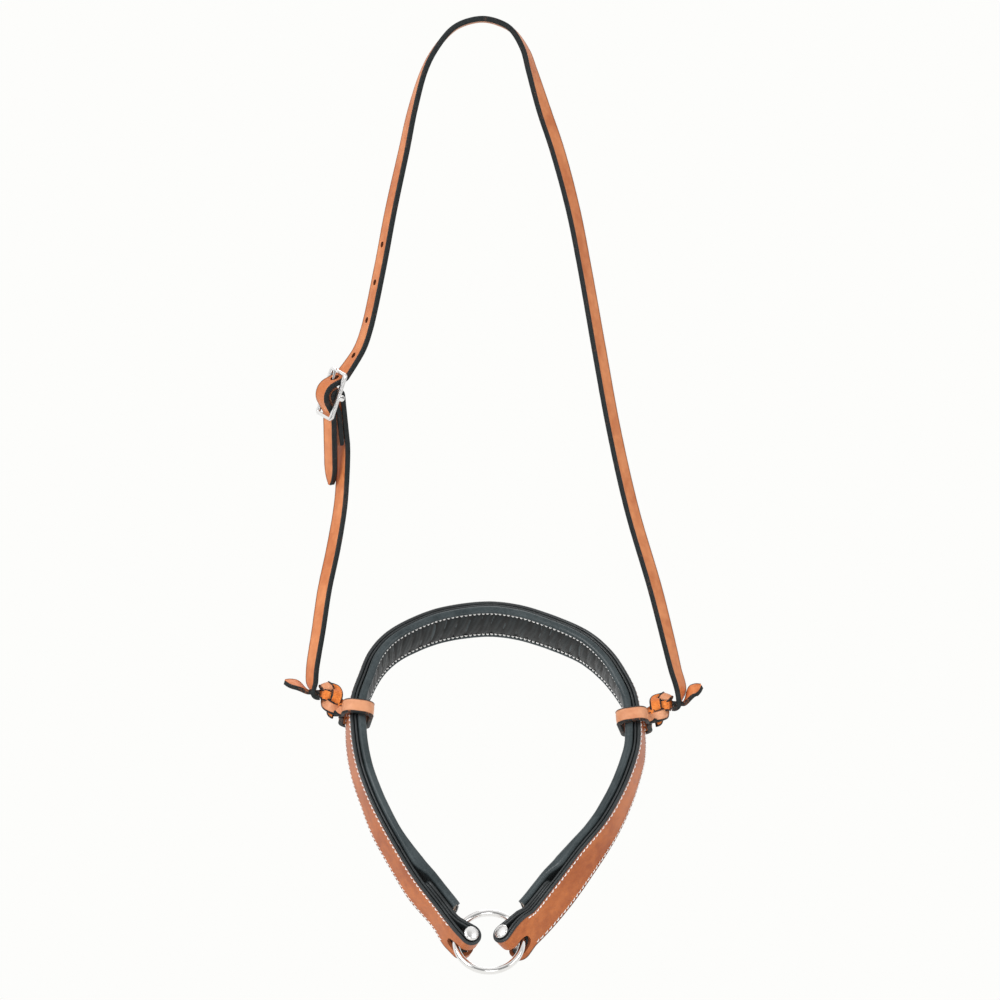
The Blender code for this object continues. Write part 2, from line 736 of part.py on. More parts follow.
def make_buckle_frame(material, parent):
    """A heel-less buckle: a rounded frame with a middle bar and a boss at each end of it."""
    half_inside = BUCKLE_INSIDE / 2
    side_at = half_inside + SIDE_BAR_WIDTH / 2
    corners = (
        (0.0, side_at), (BAR_PITCH, side_at), (BAR_PITCH, -side_at),
        (-BAR_PITCH, -side_at), (-BAR_PITCH, side_at), (0.0, side_at),
    )
    route = rounded_route(corners, [BUCKLE_CORNER] * 4, BUCKLE_STEP)[:-1]
    sections = []
    for index, point in enumerate(route):
        before, after = route[index - 1], route[(index + 1) % len(route)]
        way = (after - before).normalized()
        sideways = Vector((-way.y, way.x))
        along_side = abs(way.x)
        wide = BAR_RADIUS + (SIDE_BAR_WIDTH / 2 - BAR_RADIUS) * along_side
        deep = BAR_RADIUS + (SIDE_BAR_DEPTH / 2 - BAR_RADIUS) * along_side
        section = []
        for step in range(WIRE_SIDES):
            angle = FULL_TURN * (step + 0.5) / WIRE_SIDES
            shift = sideways * (wide * math.cos(angle))
            flat = point + shift
            section.append(WEAVE.place((flat.x, deep * math.sin(angle)), flat.y))
        sections.append(section)
    frame = make_object("buckle_frame", loft(sections, closed=True), material, parent)
    bar_end = side_at + BAR_LAP
    bar = cylinder(
        WEAVE.place(MIDDLE_BAR, -bar_end), WEAVE.place(MIDDLE_BAR, bar_end), BAR_RADIUS, BAR_SIDES
    )
    combine(frame, cutter_object("middle_bar", bar, parent), "UNION")
    for name, way in (("near_boss", -1), ("far_boss", 1)):
        length = half_inside + SIDE_BAR_WIDTH + BOSS_REACH - side_at
        profile = (
            (0.0, BOSS_RADIUS), (length * BOSS_SHOULDER_SHARE, BOSS_RADIUS),
            (length, BOSS_RADIUS * BOSS_END_SHARE),
        )
        start = WEAVE.place(MIDDLE_BAR, side_at * way)
        boss = revolve(start, BUCKLE_ACROSS * way, profile, BAR_SIDES)
        combine(frame, cutter_object(name, boss, parent), "UNION")
    return frame


TONGUE_EYE = BAR_RADIUS + TONGUE_EYE_GAP + TONGUE_RADIUS
TONGUE_REST = BAR_RADIUS + SEAT_GAP + TONGUE_RADIUS


def tongue_line():
    """The straight part of the tongue, from its eye to where it rests on the top bar."""
    leave = Vector((math.cos(TONGUE_LEAVE), math.sin(TONGUE_LEAVE)))
    start = Vector(MIDDLE_BAR) + leave * TONGUE_EYE
    rest = Vector((-BAR_PITCH, TONGUE_REST))
    return start, rest


TONGUE_START, TONGUE_END = tongue_line()
TONGUE_WAY = (WEAVE.place(TONGUE_END) - WEAVE.place(TONGUE_START)).normalized()


def tongue_crossing():
    """Where the tongue passes through the billet."""
    route = [Vector(point) for point in billet_route()]
    way = (TONGUE_END - TONGUE_START).normalized()
    best = None
    for here, there in zip(route, route[1:]):
        if here.x > 0 or there.x < -BAR_PITCH:
            continue
        for step in range(CROSSING_STEPS + 1):
            point = here.lerp(there, step / CROSSING_STEPS)
            apart = point - TONGUE_START
            off = abs(apart.x * way.y - apart.y * way.x)
            if best is None or off < best[0]:
                best = (off, point)
    return WEAVE.place(best[1])


def make_tongue(material, parent):
    """A round tongue, its eye bent round the middle bar inside the chape's slot."""
    end = TONGUE_END + (TONGUE_END - TONGUE_START).normalized() * TONGUE_OVERHANG
    route = []
    eye = Vector(MIDDLE_BAR)
    for index in range(TONGUE_WRAP_STEPS + 1):
        angle = TONGUE_LEAVE - TONGUE_WRAP * (1 - index / TONGUE_WRAP_STEPS)
        route.append(eye + Vector((math.cos(angle), math.sin(angle))) * TONGUE_EYE)
    leave = route[-1]
    for share in TONGUE_SHARES:
        bow = Vector((0.0, TONGUE_BOW * math.sin(HALF_TURN * share)))
        route.append(leave.lerp(end, share) + bow)
    ways = tangents([Vector((point.x, point.y, 0)) for point in route])
    sections = []
    for index, (point, way) in enumerate(zip(route, ways)):
        radius = TONGUE_RADIUS * (TONGUE_TIP_SHARE if index == len(route) - 1 else 1.0)
        outward = Vector((-way.y, way.x))
        section = []
        for step in range(TONGUE_SIDES):
            angle = FULL_TURN * (step + 0.5) / TONGUE_SIDES
            flat = point + outward * (radius * math.sin(angle))
            section.append(WEAVE.place(flat, radius * math.cos(angle)))
        sections.append(section)
    return make_object("buckle_tongue", loft(sections), material, parent)


def tilt_at(height):
    """Lean of the noseband's sheet away from upright, growing from the ring to the nose."""
    share = (height + BAND_DROP) / (BAND_RISE + BAND_DROP)
    return TILT_AT_RING + (TILT_AT_NOSE - TILT_AT_RING) * share


def sheet_point(side, height):
    """A point of the sheet that the band's line lies in."""
    bend = (TILT_AT_NOSE - TILT_AT_RING) / (BAND_RISE + BAND_DROP)
    here, level = tilt_at(height), tilt_at(0.0)
    back = (math.cos(level) - math.cos(here)) / bend
    up = (math.sin(here) - math.sin(level)) / bend
    return SWING_CENTRE + Vector((side, back, up))


def sheet_axes(height):
    tilt = tilt_at(height)
    return Vector((0, math.sin(tilt), math.cos(tilt))), Vector((0, math.cos(tilt), -math.sin(tilt)))


FOLD_RADIUS = PIN_RADIUS + SEAT_GAP + BAND_LINING + SEAT_GAP / 2
RETURN_PITCH = 2 * (BAND_LINING + SEAT_GAP / 2) + SEAT_GAP
PIN_SPREAD = RING_RADIUS - PIN_STAND
RING_CENTRE_SIDE = RING_SIDE_SHARE * BAND_HALF_SPREAD


def end_frame(heading, flare, outboard):
    """Directions at a folded end: along the leg to its tip, across, and out through its face."""
    up, back = sheet_axes(-BAND_DROP)
    right = Vector((1, 0, 0))
    along = right * math.cos(heading) + up * math.sin(heading)
    level_out = along.cross(back) * outboard
    across = back * math.cos(flare) + level_out * math.sin(flare)
    outward = along.cross(across) * outboard
    return along, across, outward


def pin_place(outboard):
    return sheet_point(RING_CENTRE_SIDE + outboard * PIN_SPREAD, -BAND_DROP)


class Band:
    """The noseband's line, with places given by distance along it and depth towards the nose."""

    def __init__(self):
        left_along, left_across, left_out = end_frame(LEFT_END_HEADING, LEFT_END_FLARE, -1)
        right_along, right_across, right_out = end_frame(RIGHT_END_HEADING, RIGHT_END_FLARE, 1)
        self.left_foot = pin_place(-1) + left_out * FOLD_RADIUS
        self.right_foot = pin_place(1) + right_out * FOLD_RADIUS
        rows = [(*self.left_foot, *left_across)]
        rows.append((*(self.left_foot - left_along * END_STRAIGHT), *left_across))
        for side, height, flare in BAND_SHARES:
            rows.append(self.table_row(side, height, math.radians(flare)))
        rows.append((*(self.right_foot - right_along * END_STRAIGHT), *right_across))
        rows.append((*self.right_foot, *right_across))
        lead_in = (*(self.left_foot + left_along * END_STRAIGHT), *left_across)
        lead_out = (*(self.right_foot + right_along * END_STRAIGHT), *right_across)
        fine = smooth_rows(rows, lead_in, lead_out, FINE_SPACING)
        self.points = [Vector(row[:3]) for row in fine]
        self.ways = tangents(self.points)
        self.ways[0], self.ways[-1] = -left_along, right_along
        self.sides = []
        for way, row in zip(self.ways, fine):
            side = Vector(row[3:])
            self.sides.append((side - way * side.dot(way)).normalized())
        self.along = distances(self.points)
        self.length = self.along[-1]

    @staticmethod
    def table_row(side, height, flare):
        scale = BAND_RISE if height > 0 else BAND_DROP
        up, back = sheet_axes(height * scale)
        place = sheet_point(side * BAND_HALF_SPREAD, height * scale)
        outward = (Vector((side * BAND_DROP, 0, 0)) + up * (height * BAND_DROP)).normalized()
        return (*place, *(back * math.cos(flare) + outward * math.sin(flare)))

    def frame_at(self, distance):
        """Place, way, across and outward at a distance, run straight on past both ends."""
        inside = min(max(distance, 0.0), self.length)
        after = 1
        while after < len(self.along) - 1 and self.along[after] < inside:
            after += 1
        span = self.along[after] - self.along[after - 1]
        share = (inside - self.along[after - 1]) / span
        place = self.points[after - 1].lerp(self.points[after], share)
        way = self.ways[after - 1].lerp(self.ways[after], share).normalized()
        side = self.sides[after - 1].lerp(self.sides[after], share)
        side = (side - way * side.dot(way)).normalized()
        place = place + way * (distance - inside)
        return place, way, side, way.cross(side)

    def place(self, flat, side=0.0):
        """The world place of (distance, depth) and a shift across the band."""
        point, _, across, outward = self.frame_at(flat[0])
        return point - outward * flat[1] + across * side

    def distance_at_height(self, height, outboard):
        """Distance along the band to where a side crosses a height of its sheet."""
        target = sheet_point(0.0, height).z
        half = range(len(self.points))
        found = [i for i in half if (self.points[i].x - SWING_CENTRE.x) * outboard > BAND_HALF_SPREAD / 2]
        best = min(found, key=lambda i: abs(self.points[i].z - target))
        return self.along[best]


BAND = Band()


def fold_route():
    """A folded end as (beyond the foot, depth): round the pin, back and down onto the band."""
    converge = (
        (RETURN_PITCH + RETURN_BEND - FOLD_RADIUS) * math.cos(RETURN_SWING)
        - (RETURN_BEND + FOLD_RADIUS)
    ) / math.sin(RETURN_SWING)
    circles = (
        ((0.0, FOLD_RADIUS), FOLD_RADIUS, 1),
        ((converge, RETURN_PITCH + RETURN_BEND), RETURN_BEND, -1),
    )
    points = belt(circles, 0.0, HALF_TURN, FOLD_STEP)
    last = points[-1]
    run = RETURN_LENGTH + last[0]
    for share in RETURN_SHARES:
        points.append((last[0] - run * share, last[1]))
    return points


def band_distances():
    return [BAND.length * index / BAND_STATIONS for index in range(BAND_STATIONS + 1)]


def band_route():
    """The whole folded strip as (distance, depth), from one returned end to the other."""
    fold = fold_route()
    left = [(-beyond, depth) for beyond, depth in reversed(fold)]
    middle = [(distance, 0.0) for distance in band_distances()[1:-1]]
    right = [(BAND.length + beyond, depth) for beyond, depth in fold]
    return left + middle + right


def flat_normals(route):
    """Unit normals on the right of a path in the plane, mitred at its corners."""
    normals = []
    for index in range(len(route)):
        before = Vector(route[max(0, index - 1)])
        here = Vector(route[index])
        after = Vector(route[min(len(route) - 1, index + 1)])
        ways = [way.normalized() for way in (here - before, after - here) if way.length > 0]
        rights = [Vector((way.y, -way.x)) for way in ways]
        mean = sum(rights, Vector((0, 0))).normalized()
        normals.append(mean / max(MITRE_SHARE, mean.dot(rights[0])))
    return normals


def folded_strip(route, low, high, half_width):
    """A strip between two offsets right of the route, folded as the route is."""
    along = [0.0]
    for here, there in zip(route, route[1:]):
        along.append(along[-1] + (Vector(there) - Vector(here)).length)
    sections = []
    for point, normal, here in zip(route, flat_normals(route), along):
        from_end = min(here, along[-1] - here)
        half = half_width * tip_width(from_end, half_width, SQUARE_TIP_SHARES)
        ease = min(EDGE_ROUND, (high - low) * DEEP_EASE_SHARE)
        offsets = (
            (low, ease - half), (low, half - ease), (low + ease, half), (high - ease, half),
            (high, half - ease), (high, ease - half), (high - ease, -half), (low + ease, -half),
        )
        section = []
        for offset, side in offsets:
            section.append(BAND.place(Vector(point) + normal * offset, side))
        sections.append(section)
    return loft(sections)


def slot_cutter(name, start_of, sign, shift, parent):
    """What the ring needs out of a folded end: a slot up the band, round the fold and back."""
    between = BAND_LINING + SEAT_GAP
    far = 2 * FOLD_RADIUS + BAND_LEATHER + OVERRUN
    step = SEAT_GAP / 2
    stations = (
        (-RETURN_SLOT, between), (-(RETURN_SLOT + MAIN_SLOT) / 2, between),
        (-MAIN_SLOT - step, between), (-MAIN_SLOT, -OVERRUN), (-MAIN_SLOT / 2, -OVERRUN),
        (0.0, -OVERRUN), (FOLD_RADIUS + BAND_LEATHER + OVERRUN, -OVERRUN),
    )
    near_side, far_side = shift - SLOT_WIDTH / 2, shift + SLOT_WIDTH / 2
    rings = []
    for beyond, low in stations:
        distance = start_of + sign * beyond
        rings.append([
            BAND.place((distance, low), near_side), BAND.place((distance, low), far_side),
            BAND.place((distance, far), far_side), BAND.place((distance, far), near_side),
        ])
    return cutter_object(name, loft(rings), parent)


def make_band_strips(materials, parent):
    route = band_route()
    half_gap = SEAT_GAP / 2
    half_width = BAND_WIDTH / 2
    leather = make_object(
        "noseband_leather",
        folded_strip(route, half_gap, half_gap + BAND_LEATHER, half_width),
        materials["band"], parent,
    )
    lining = make_object(
        "noseband_lining",
        folded_strip(route, -half_gap - BAND_LINING, -half_gap, half_width),
        materials["lining"], parent,
    )
    cutters = (
        slot_cutter("left_slot", 0.0, -1, LEFT_SLOT_SHIFT, parent),
        slot_cutter("right_slot", BAND.length, 1, RIGHT_SLOT_SHIFT, parent),
    )
    for strip in (leather, lining):
        for cutter in cutters:
            combine(strip, cutter, "DIFFERENCE")
    return leather, lining


def pad_depth(distance):
    """How deep the pad's back lies, on the returned layer at its ends and on the lining between."""
    on_lining = BAND_LINING + SEAT_GAP / 2 + PAD_GAP
    on_return = RETURN_PITCH + SEAT_GAP / 2 + BAND_LEATHER + PAD_GAP
    from_end = min(distance, BAND.length - distance)
    share = (from_end - RETURN_LENGTH) / PAD_SETTLE
    share = min(1.0, max(0.0, share))
    eased = share * share * (3 - 2 * share)
    return on_return + (on_lining - on_return) * eased


def pad_route():
    """Stations of the pad as (distance, depth), closer together where it steps up."""
    raised = RETURN_LENGTH + PAD_SETTLE
    near = [PAD_START, (PAD_START + RETURN_LENGTH) / 2]
    near += [RETURN_LENGTH + PAD_SETTLE * share for share in PAD_SETTLE_SHARES]
    margin = raised * PAD_MARGIN_SHARE
    middle = [
        distance for distance in band_distances()[::PAD_SKIPPED_STATIONS]
        if margin < distance < BAND.length - margin
    ]
    far = [BAND.length - distance for distance in reversed(near)]
    return [(distance, pad_depth(distance)) for distance in near + middle + far]


def pad_outline(inset=0.0):
    """Half of the cover's outline as (across, depth), from its lip to its crown, moved in by inset."""
    points = [
        Vector((side * PAD_HALF_WIDTH, depth * PAD_THICKNESS)) for side, depth in PAD_OUTLINE_SHARES
    ]
    points.append(Vector((0.0, PAD_THICKNESS)))
    moved = []
    for index, point in enumerate(points):
        before = points[max(0, index - 1)]
        mirrored = Vector((-points[-2].x, points[-2].y))
        after = points[index + 1] if index + 1 < len(points) else mirrored
        way = (after - before).normalized()
        moved.append(point + Vector((-way.y, way.x)) * inset)
    moved[0] = Vector((points[0].x, inset))
    return moved


def pad_sections(outline):
    """Sections of a pad layer along its route, from a closed outline of (across, depth)."""
    route = pad_route()
    normals = flat_normals(route)
    sections = []
    for point, normal in zip(route, normals):
        section = []
        for side, depth in outline:
            section.append(BAND.place(Vector(point) - normal * depth, side))
        sections.append(section)
    return sections


def mirrored_outline(half):
    """A whole outline from its half: down one side to the crown and back up the other."""
    other = [Vector((-point.x, point.y)) for point in reversed(half[:-1])]
    return list(half) + other


def make_pad(materials, parent):
    outer = mirrored_outline(pad_outline())
    inner = mirrored_outline(pad_outline(PAD_COVER))
    cover = [tuple(point) for point in outer + inner[::-1]]
    make_object("pad_cover", loft(pad_sections(cover)), materials["pad"], parent)
    lip = PAD_LIP_SHARE * PAD_HALF_WIDTH - SEAT_GAP
    backing = ((-lip, 0.0), (lip, 0.0), (lip, PAD_BACKING), (-lip, PAD_BACKING))
    make_object("pad_backing", loft(pad_sections(backing)), materials["lining"], parent)
    floor = PAD_BACKING + SEAT_GAP
    half = [point for point in pad_outline(PAD_COVER + SEAT_GAP) if point.y > floor + SEAT_GAP]
    foam = [tuple(point) for point in mirrored_outline([Vector((lip, floor))] + half)]
    make_object("pad_foam", loft(pad_sections(foam)), materials["foam"], parent)


def bezier(start, start_handle, end_handle, end, count):
    points = []
    for index in range(count + 1):
        at = index / count
        rest = 1 - at
        points.append(
            start * rest ** 3 + start_handle * (3 * rest * rest * at)
            + end_handle * (3 * rest * at * at) + end * at ** 3
        )
    return points


def side_loop_sections(knot, outboard, height):
    """A loop round the band whose two ends are plaited together out to the knot's face."""
    distance = BAND.distance_at_height(height, outboard)
    centre, way, across, outward = BAND.frame_at(distance)
    inboard = SWING_AXIS * -outboard
    strand = (LOOP_THICKNESS + SEAT_GAP) / 2
    outer = BAND_LEATHER + SEAT_GAP / 2 + LOOP_CLEARANCE + LOOP_THICKNESS / 2
    inner = pad_depth(distance) + PAD_THICKNESS + LOOP_CLEARANCE + LOOP_THICKNESS / 2
    side = PAD_HALF_WIDTH + LOOP_CLEARANCE + LOOP_THICKNESS / 2
    throat = outer + THROAT_CORNER
    start = knot + inboard * (SEAT_GAP / 2)
    end = centre + outward * throat
    span = (end - start).length
    middle = bezier(
        start, start + inboard * (span * BRAID_LEAD_SHARE),
        end + outward * (span * BRAID_LEAD_SHARE), end, BRAID_STEPS,
    )
    ways = tangents(middle)
    ways[0], ways[-1] = inboard, -outward
    radials = carried_directions(ways, -UP)
    gap = signed_angle(radials[-1], -across, ways[-1])
    total = gap + math.copysign(FULL_TURN * BRAID_TURNS, -gap)
    stations = []
    for index, (point, heading, radial) in enumerate(zip(middle, ways, radials)):
        angle = total * index / BRAID_STEPS
        stations.append((point, heading, Matrix.Rotation(angle, 3, heading) @ radial))
    first = braid_strand(stations, strand, 1)
    last = braid_strand(stations, strand, -1)[::-1]
    corners = (
        (throat, -strand), (outer, -strand), (outer, -side), (-inner, -side),
        (-inner, side), (outer, side), (outer, strand), (throat, strand),
    )
    bends = (THROAT_CORNER, *[LOOP_CORNER] * 4, THROAT_CORNER)
    flat = rounded_route(corners, bends, FOLD_STEP)
    round_band = []
    for index, point in enumerate(flat):
        before, after = flat[max(0, index - 1)], flat[min(len(flat) - 1, index + 1)]
        heading = (after - before).normalized()
        normal = Vector((-heading.y, heading.x))
        place = centre + outward * point.x + across * point.y
        facing = outward * normal.x + across * normal.y
        round_band.append((place, way, facing))
    return first, round_band, last


def carried_directions(ways, start):
    """A direction carried along a path without spin."""
    carried = [(start - ways[0] * start.dot(ways[0])).normalized()]
    for way in ways[1:]:
        last = carried[-1]
        carried.append((last - way * last.dot(way)).normalized())
    return carried


def signed_angle(first, second, axis):
    return math.atan2(axis.dot(first.cross(second)), first.dot(second))


def braid_strand(stations, strand, sign):
    rows = []
    for point, heading, radial in stations:
        facing = radial * sign
        rows.append((point + facing * strand, heading.cross(radial), facing))
    return rows


def make_side_loop(name, knot, outboard, height, material, parent):
    first, round_band, last = side_loop_sections(knot, outboard, height)
    rows = first + round_band[1:-1] + last
    sections = []
    reference = None
    for place, across, facing in rows:
        if reference is not None and reference.dot(across) < 0:
            across = -across
        reference = across
        sections.append(strap_section(place, across, facing, LOOP_WIDTH / 2, LOOP_THICKNESS))
    return make_object(name, loft(sections), material, parent)


RING_PLACE = sheet_point(RING_CENTRE_SIDE, -BAND_DROP)
RING_NORMAL = Vector((0, math.cos(RING_TILT), -math.sin(RING_TILT)))


def make_ring(material, parent):
    first = Vector((1, 0, 0))
    second = RING_NORMAL.cross(first)
    sections = []
    for index in range(RING_SIDES):
        angle = FULL_TURN * index / RING_SIDES
        spoke = first * math.cos(angle) + second * math.sin(angle)
        centre = RING_PLACE + spoke * RING_RADIUS
        section = []
        for step in range(WIRE_SIDES):
            turn = FULL_TURN * step / WIRE_SIDES
            lift = spoke * math.cos(turn) + RING_NORMAL * math.sin(turn)
            section.append(centre + lift * WIRE_RADIUS)
        sections.append(section)
    return make_object("tie_down_ring", loft(sections, closed=True), material, parent)


def dome(base, flip):
    """A head's profile from its rim to its top, as (along, radius)."""
    profile = [(base, HEAD_RADIUS), (base + flip * HEAD_RIM, HEAD_RADIUS)]
    for step in range(1, DOME_STEPS):
        angle = QUARTER_TURN * step / DOME_STEPS
        rise = HEAD_RIM + (HEAD_RISE - HEAD_RIM) * math.sin(angle)
        profile.append((base + flip * rise, HEAD_RADIUS * math.cos(angle)))
    return profile


def make_pin(side_name, outboard, heading, flare, materials, parent):
    """A post with a domed head, and the domed screw that closes its far end."""
    _, across, _ = end_frame(heading, flare, outboard)
    middle = pin_place(outboard)
    seat = BAND_WIDTH / 2 + SEAT_GAP
    floor = seat - SCREW_LENGTH - SEAT_GAP
    profile = dome(-seat, -1)[::-1]
    profile += [(-seat, PIN_RADIUS), (seat, PIN_RADIUS), (seat, PIN_BORE), (floor, PIN_BORE)]
    post = revolve(middle, across, profile, PIN_SIDES)
    make_object(f"{side_name}_pin_post", post, materials["metal"], parent)
    face = seat + SEAT_GAP
    profile = [(face - SCREW_LENGTH, SCREW_RADIUS), (face, SCREW_RADIUS)] + dome(face, 1)
    screw = revolve(middle, across, profile, PIN_SIDES)
    make_object(f"{side_name}_pin_screw", screw, materials["metal"], parent)


def main():
    clear_scene()
    materials = make_materials()
    headstall = make_empty("headstall_hang", (0, 0, 0))
    loops = make_empty("loops_swing", SWING_CENTRE, headstall)
    band = make_empty("band_slide", SWING_CENTRE, loops)
    buckle = make_empty("buckle_rock", WEAVE.place(MIDDLE_BAR), headstall)
    tongue = make_empty("tongue_lift", WEAVE.place(MIDDLE_BAR), buckle)
    ring = make_empty("ring_swing", RING_PLACE, band)
    left_pin = make_empty("left_pin_turn", pin_place(-1), band)
    right_pin = make_empty("right_pin_turn", pin_place(1), band)
    make_crown_strap(materials["strap"], headstall)
    make_cheek_strap(materials["strap"], headstall)
    make_tail("left_tail", KNOT_LEFT, -1, LEFT_TAIL_REACH, LEFT_TAIL_ROLL, materials["loop"], headstall)
    make_tail("right_tail", KNOT_RIGHT, 1, RIGHT_TAIL_REACH, RIGHT_TAIL_ROLL, materials["loop"], headstall)
    make_buckle_frame(materials["metal"], buckle)
    make_tongue(materials["metal"], tongue)
    make_side_loop("left_side_loop", KNOT_LEFT, -1, LEFT_LOOP_HEIGHT, materials["loop"], loops)
    make_side_loop("right_side_loop", KNOT_RIGHT, 1, RIGHT_LOOP_HEIGHT, materials["loop"], loops)
    make_band_strips(materials, band)
    make_pad(materials, band)
    make_ring(materials["metal"], ring)
    make_pin("left", -1, LEFT_END_HEADING, LEFT_END_FLARE, materials, left_pin)
    make_pin("right", 1, RIGHT_END_HEADING, RIGHT_END_FLARE, materials, right_pin)


main()
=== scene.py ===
import math

import bmesh
import bpy
import numpy as np
from mathutils import Matrix, Vector, noise


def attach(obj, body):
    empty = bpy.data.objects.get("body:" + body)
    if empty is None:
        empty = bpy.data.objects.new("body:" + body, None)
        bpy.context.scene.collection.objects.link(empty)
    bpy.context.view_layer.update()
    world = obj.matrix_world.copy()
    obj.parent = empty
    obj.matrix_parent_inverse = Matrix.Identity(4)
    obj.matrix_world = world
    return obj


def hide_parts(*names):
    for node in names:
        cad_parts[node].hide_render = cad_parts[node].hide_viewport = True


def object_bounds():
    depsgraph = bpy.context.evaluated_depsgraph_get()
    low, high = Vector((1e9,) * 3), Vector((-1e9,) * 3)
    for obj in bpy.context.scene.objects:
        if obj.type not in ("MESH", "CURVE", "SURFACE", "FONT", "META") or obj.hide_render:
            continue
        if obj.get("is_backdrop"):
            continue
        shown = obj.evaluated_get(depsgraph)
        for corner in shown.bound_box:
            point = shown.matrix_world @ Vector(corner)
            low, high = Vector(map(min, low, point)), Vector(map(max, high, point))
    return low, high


print("loading the frame")
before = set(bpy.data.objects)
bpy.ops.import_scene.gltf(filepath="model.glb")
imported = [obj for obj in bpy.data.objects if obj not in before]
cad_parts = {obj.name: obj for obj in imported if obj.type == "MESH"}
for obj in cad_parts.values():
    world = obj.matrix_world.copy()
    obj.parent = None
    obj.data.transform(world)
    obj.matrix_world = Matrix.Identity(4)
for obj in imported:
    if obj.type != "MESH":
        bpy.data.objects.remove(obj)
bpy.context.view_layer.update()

up = Vector((0, 0, 1))
back = Vector((0, 1, 0))
right = Vector((1, 0, 0))
quarterTurn = math.pi / 2
fullTurn = math.pi * 2

# the clearances and the eased edge that every leather part shares
fit = {"gap": 0.0003, "ease": 0.0010, "stepDegrees": 5, "curveSteps": 30}
halfGap = fit["gap"] / 2


# node sheets

class Wire:
    # a socket whose arithmetic adds Math nodes
    def __init__(self, sheet, socket):
        self.sheet = sheet
        self.socket = socket

    def __add__(self, other):
        return self.sheet.maths("ADD", self, other)

    def __radd__(self, other):
        return self.sheet.maths("ADD", other, self)

    def __sub__(self, other):
        return self.sheet.maths("SUBTRACT", self, other)

    def __rsub__(self, other):
        return self.sheet.maths("SUBTRACT", other, self)

    def __mul__(self, other):
        return self.sheet.maths("MULTIPLY", self, other)

    def __rmul__(self, other):
        return self.sheet.maths("MULTIPLY", other, self)


class Sheet:
    # a node tree, with one method that adds any node to it
    def __init__(self, tree):
        self.tree = tree

    def feed(self, target, value):
        if isinstance(value, Wire):
            self.tree.links.new(value.socket, target)
        else:
            target.default_value = (*value, 1.0) if target.type == "RGBA" else value

    def node(self, kind, settings=None, sockets=None, output=0):
        made = self.tree.nodes.new(kind)
        for setting, value in (settings or {}).items():
            setattr(made, setting, value)
        for socket, value in (sockets or {}).items():
            self.feed(made.inputs[socket], value)
        return Wire(self, made.outputs[output])

    def maths(self, operation, *values):
        return self.node("ShaderNodeMath", {"operation": operation}, dict(enumerate(values)))


class Finish(Sheet):
    # one material and the nodes behind it
    def __init__(self, name, roughness=0.5, metallic=0.0, **sockets):
        self.material = bpy.data.materials.new(name)
        self.material.use_nodes = True
        super().__init__(self.material.node_tree)
        self.shader = self.tree.nodes["Principled BSDF"]
        for socket, value in {"Roughness": roughness, "Metallic": metallic, **sockets}.items():
            self.shader.inputs[socket.replace("_", " ")].default_value = value

    def stretched(self, where, stretch):
        return self.node("ShaderNodeVectorMath", {"operation": "MULTIPLY"}, {0: where, 1: stretch})

    def place(self, stretch=(1, 1, 1)):
        return self.stretched(self.node("ShaderNodeTexCoord", output="Object"), stretch)

    def strip(self, stretch=(1, 1, 1)):
        # x runs along a strip in metres, y across it from -1 to 1; on the pad y is the painted
        # shade of the panel, its creases and grooves
        return self.stretched(self.node("ShaderNodeUVMap", {"uv_map": "strip"}), stretch)

    def stripAcross(self):
        return self.node("ShaderNodeSeparateXYZ", None, {0: self.strip()}, 1)

    def speckle(self, where, scale, detail=4.0, roughness=0.55):
        return self.node("ShaderNodeTexNoise", None, {
            "Vector": where, "Scale": scale, "Detail": detail, "Roughness": roughness,
        })

    def cells(self, where, scale):
        return self.node("ShaderNodeTexVoronoi", None, {"Vector": where, "Scale": scale})

    def between(self, value, low, high):
        # 0 below low, 1 above high
        return self.node("ShaderNodeMapRange", {"clamp": True}, {0: value, 1: low, 2: high})

    def mix(self, factor, first, second):
        sockets = {0: factor, 6: first, 7: second}
        return self.node("ShaderNodeMix", {"data_type": "RGBA"}, sockets, 2)

    def colour(self, value):
        self.feed(self.shader.inputs["Base Color"], value)

    def rough(self, value):
        self.feed(self.shader.inputs["Roughness"], value)

    def bump(self, height, depth, strength):
        sockets = {"Strength": strength, "Distance": depth, "Height": height}
        self.feed(self.shader.inputs["Normal"], self.node("ShaderNodeBump", None, sockets))


print("mixing the finishes")

tan = {
    "strapLight": (0.76, 0.280, 0.105), "strapDark": (0.56, 0.160, 0.045),
    "bandLight": (0.56, 0.165, 0.044), "bandDark": (0.37, 0.088, 0.020),
    "loopLight": (0.78, 0.375, 0.205), "loopDark": (0.60, 0.235, 0.110),
    "suedeLight": (0.93, 0.285, 0.060), "suedeDark": (0.56, 0.125, 0.022),
    "fleshLight": (0.66, 0.300, 0.140), "fleshDark": (0.48, 0.180, 0.070),
}


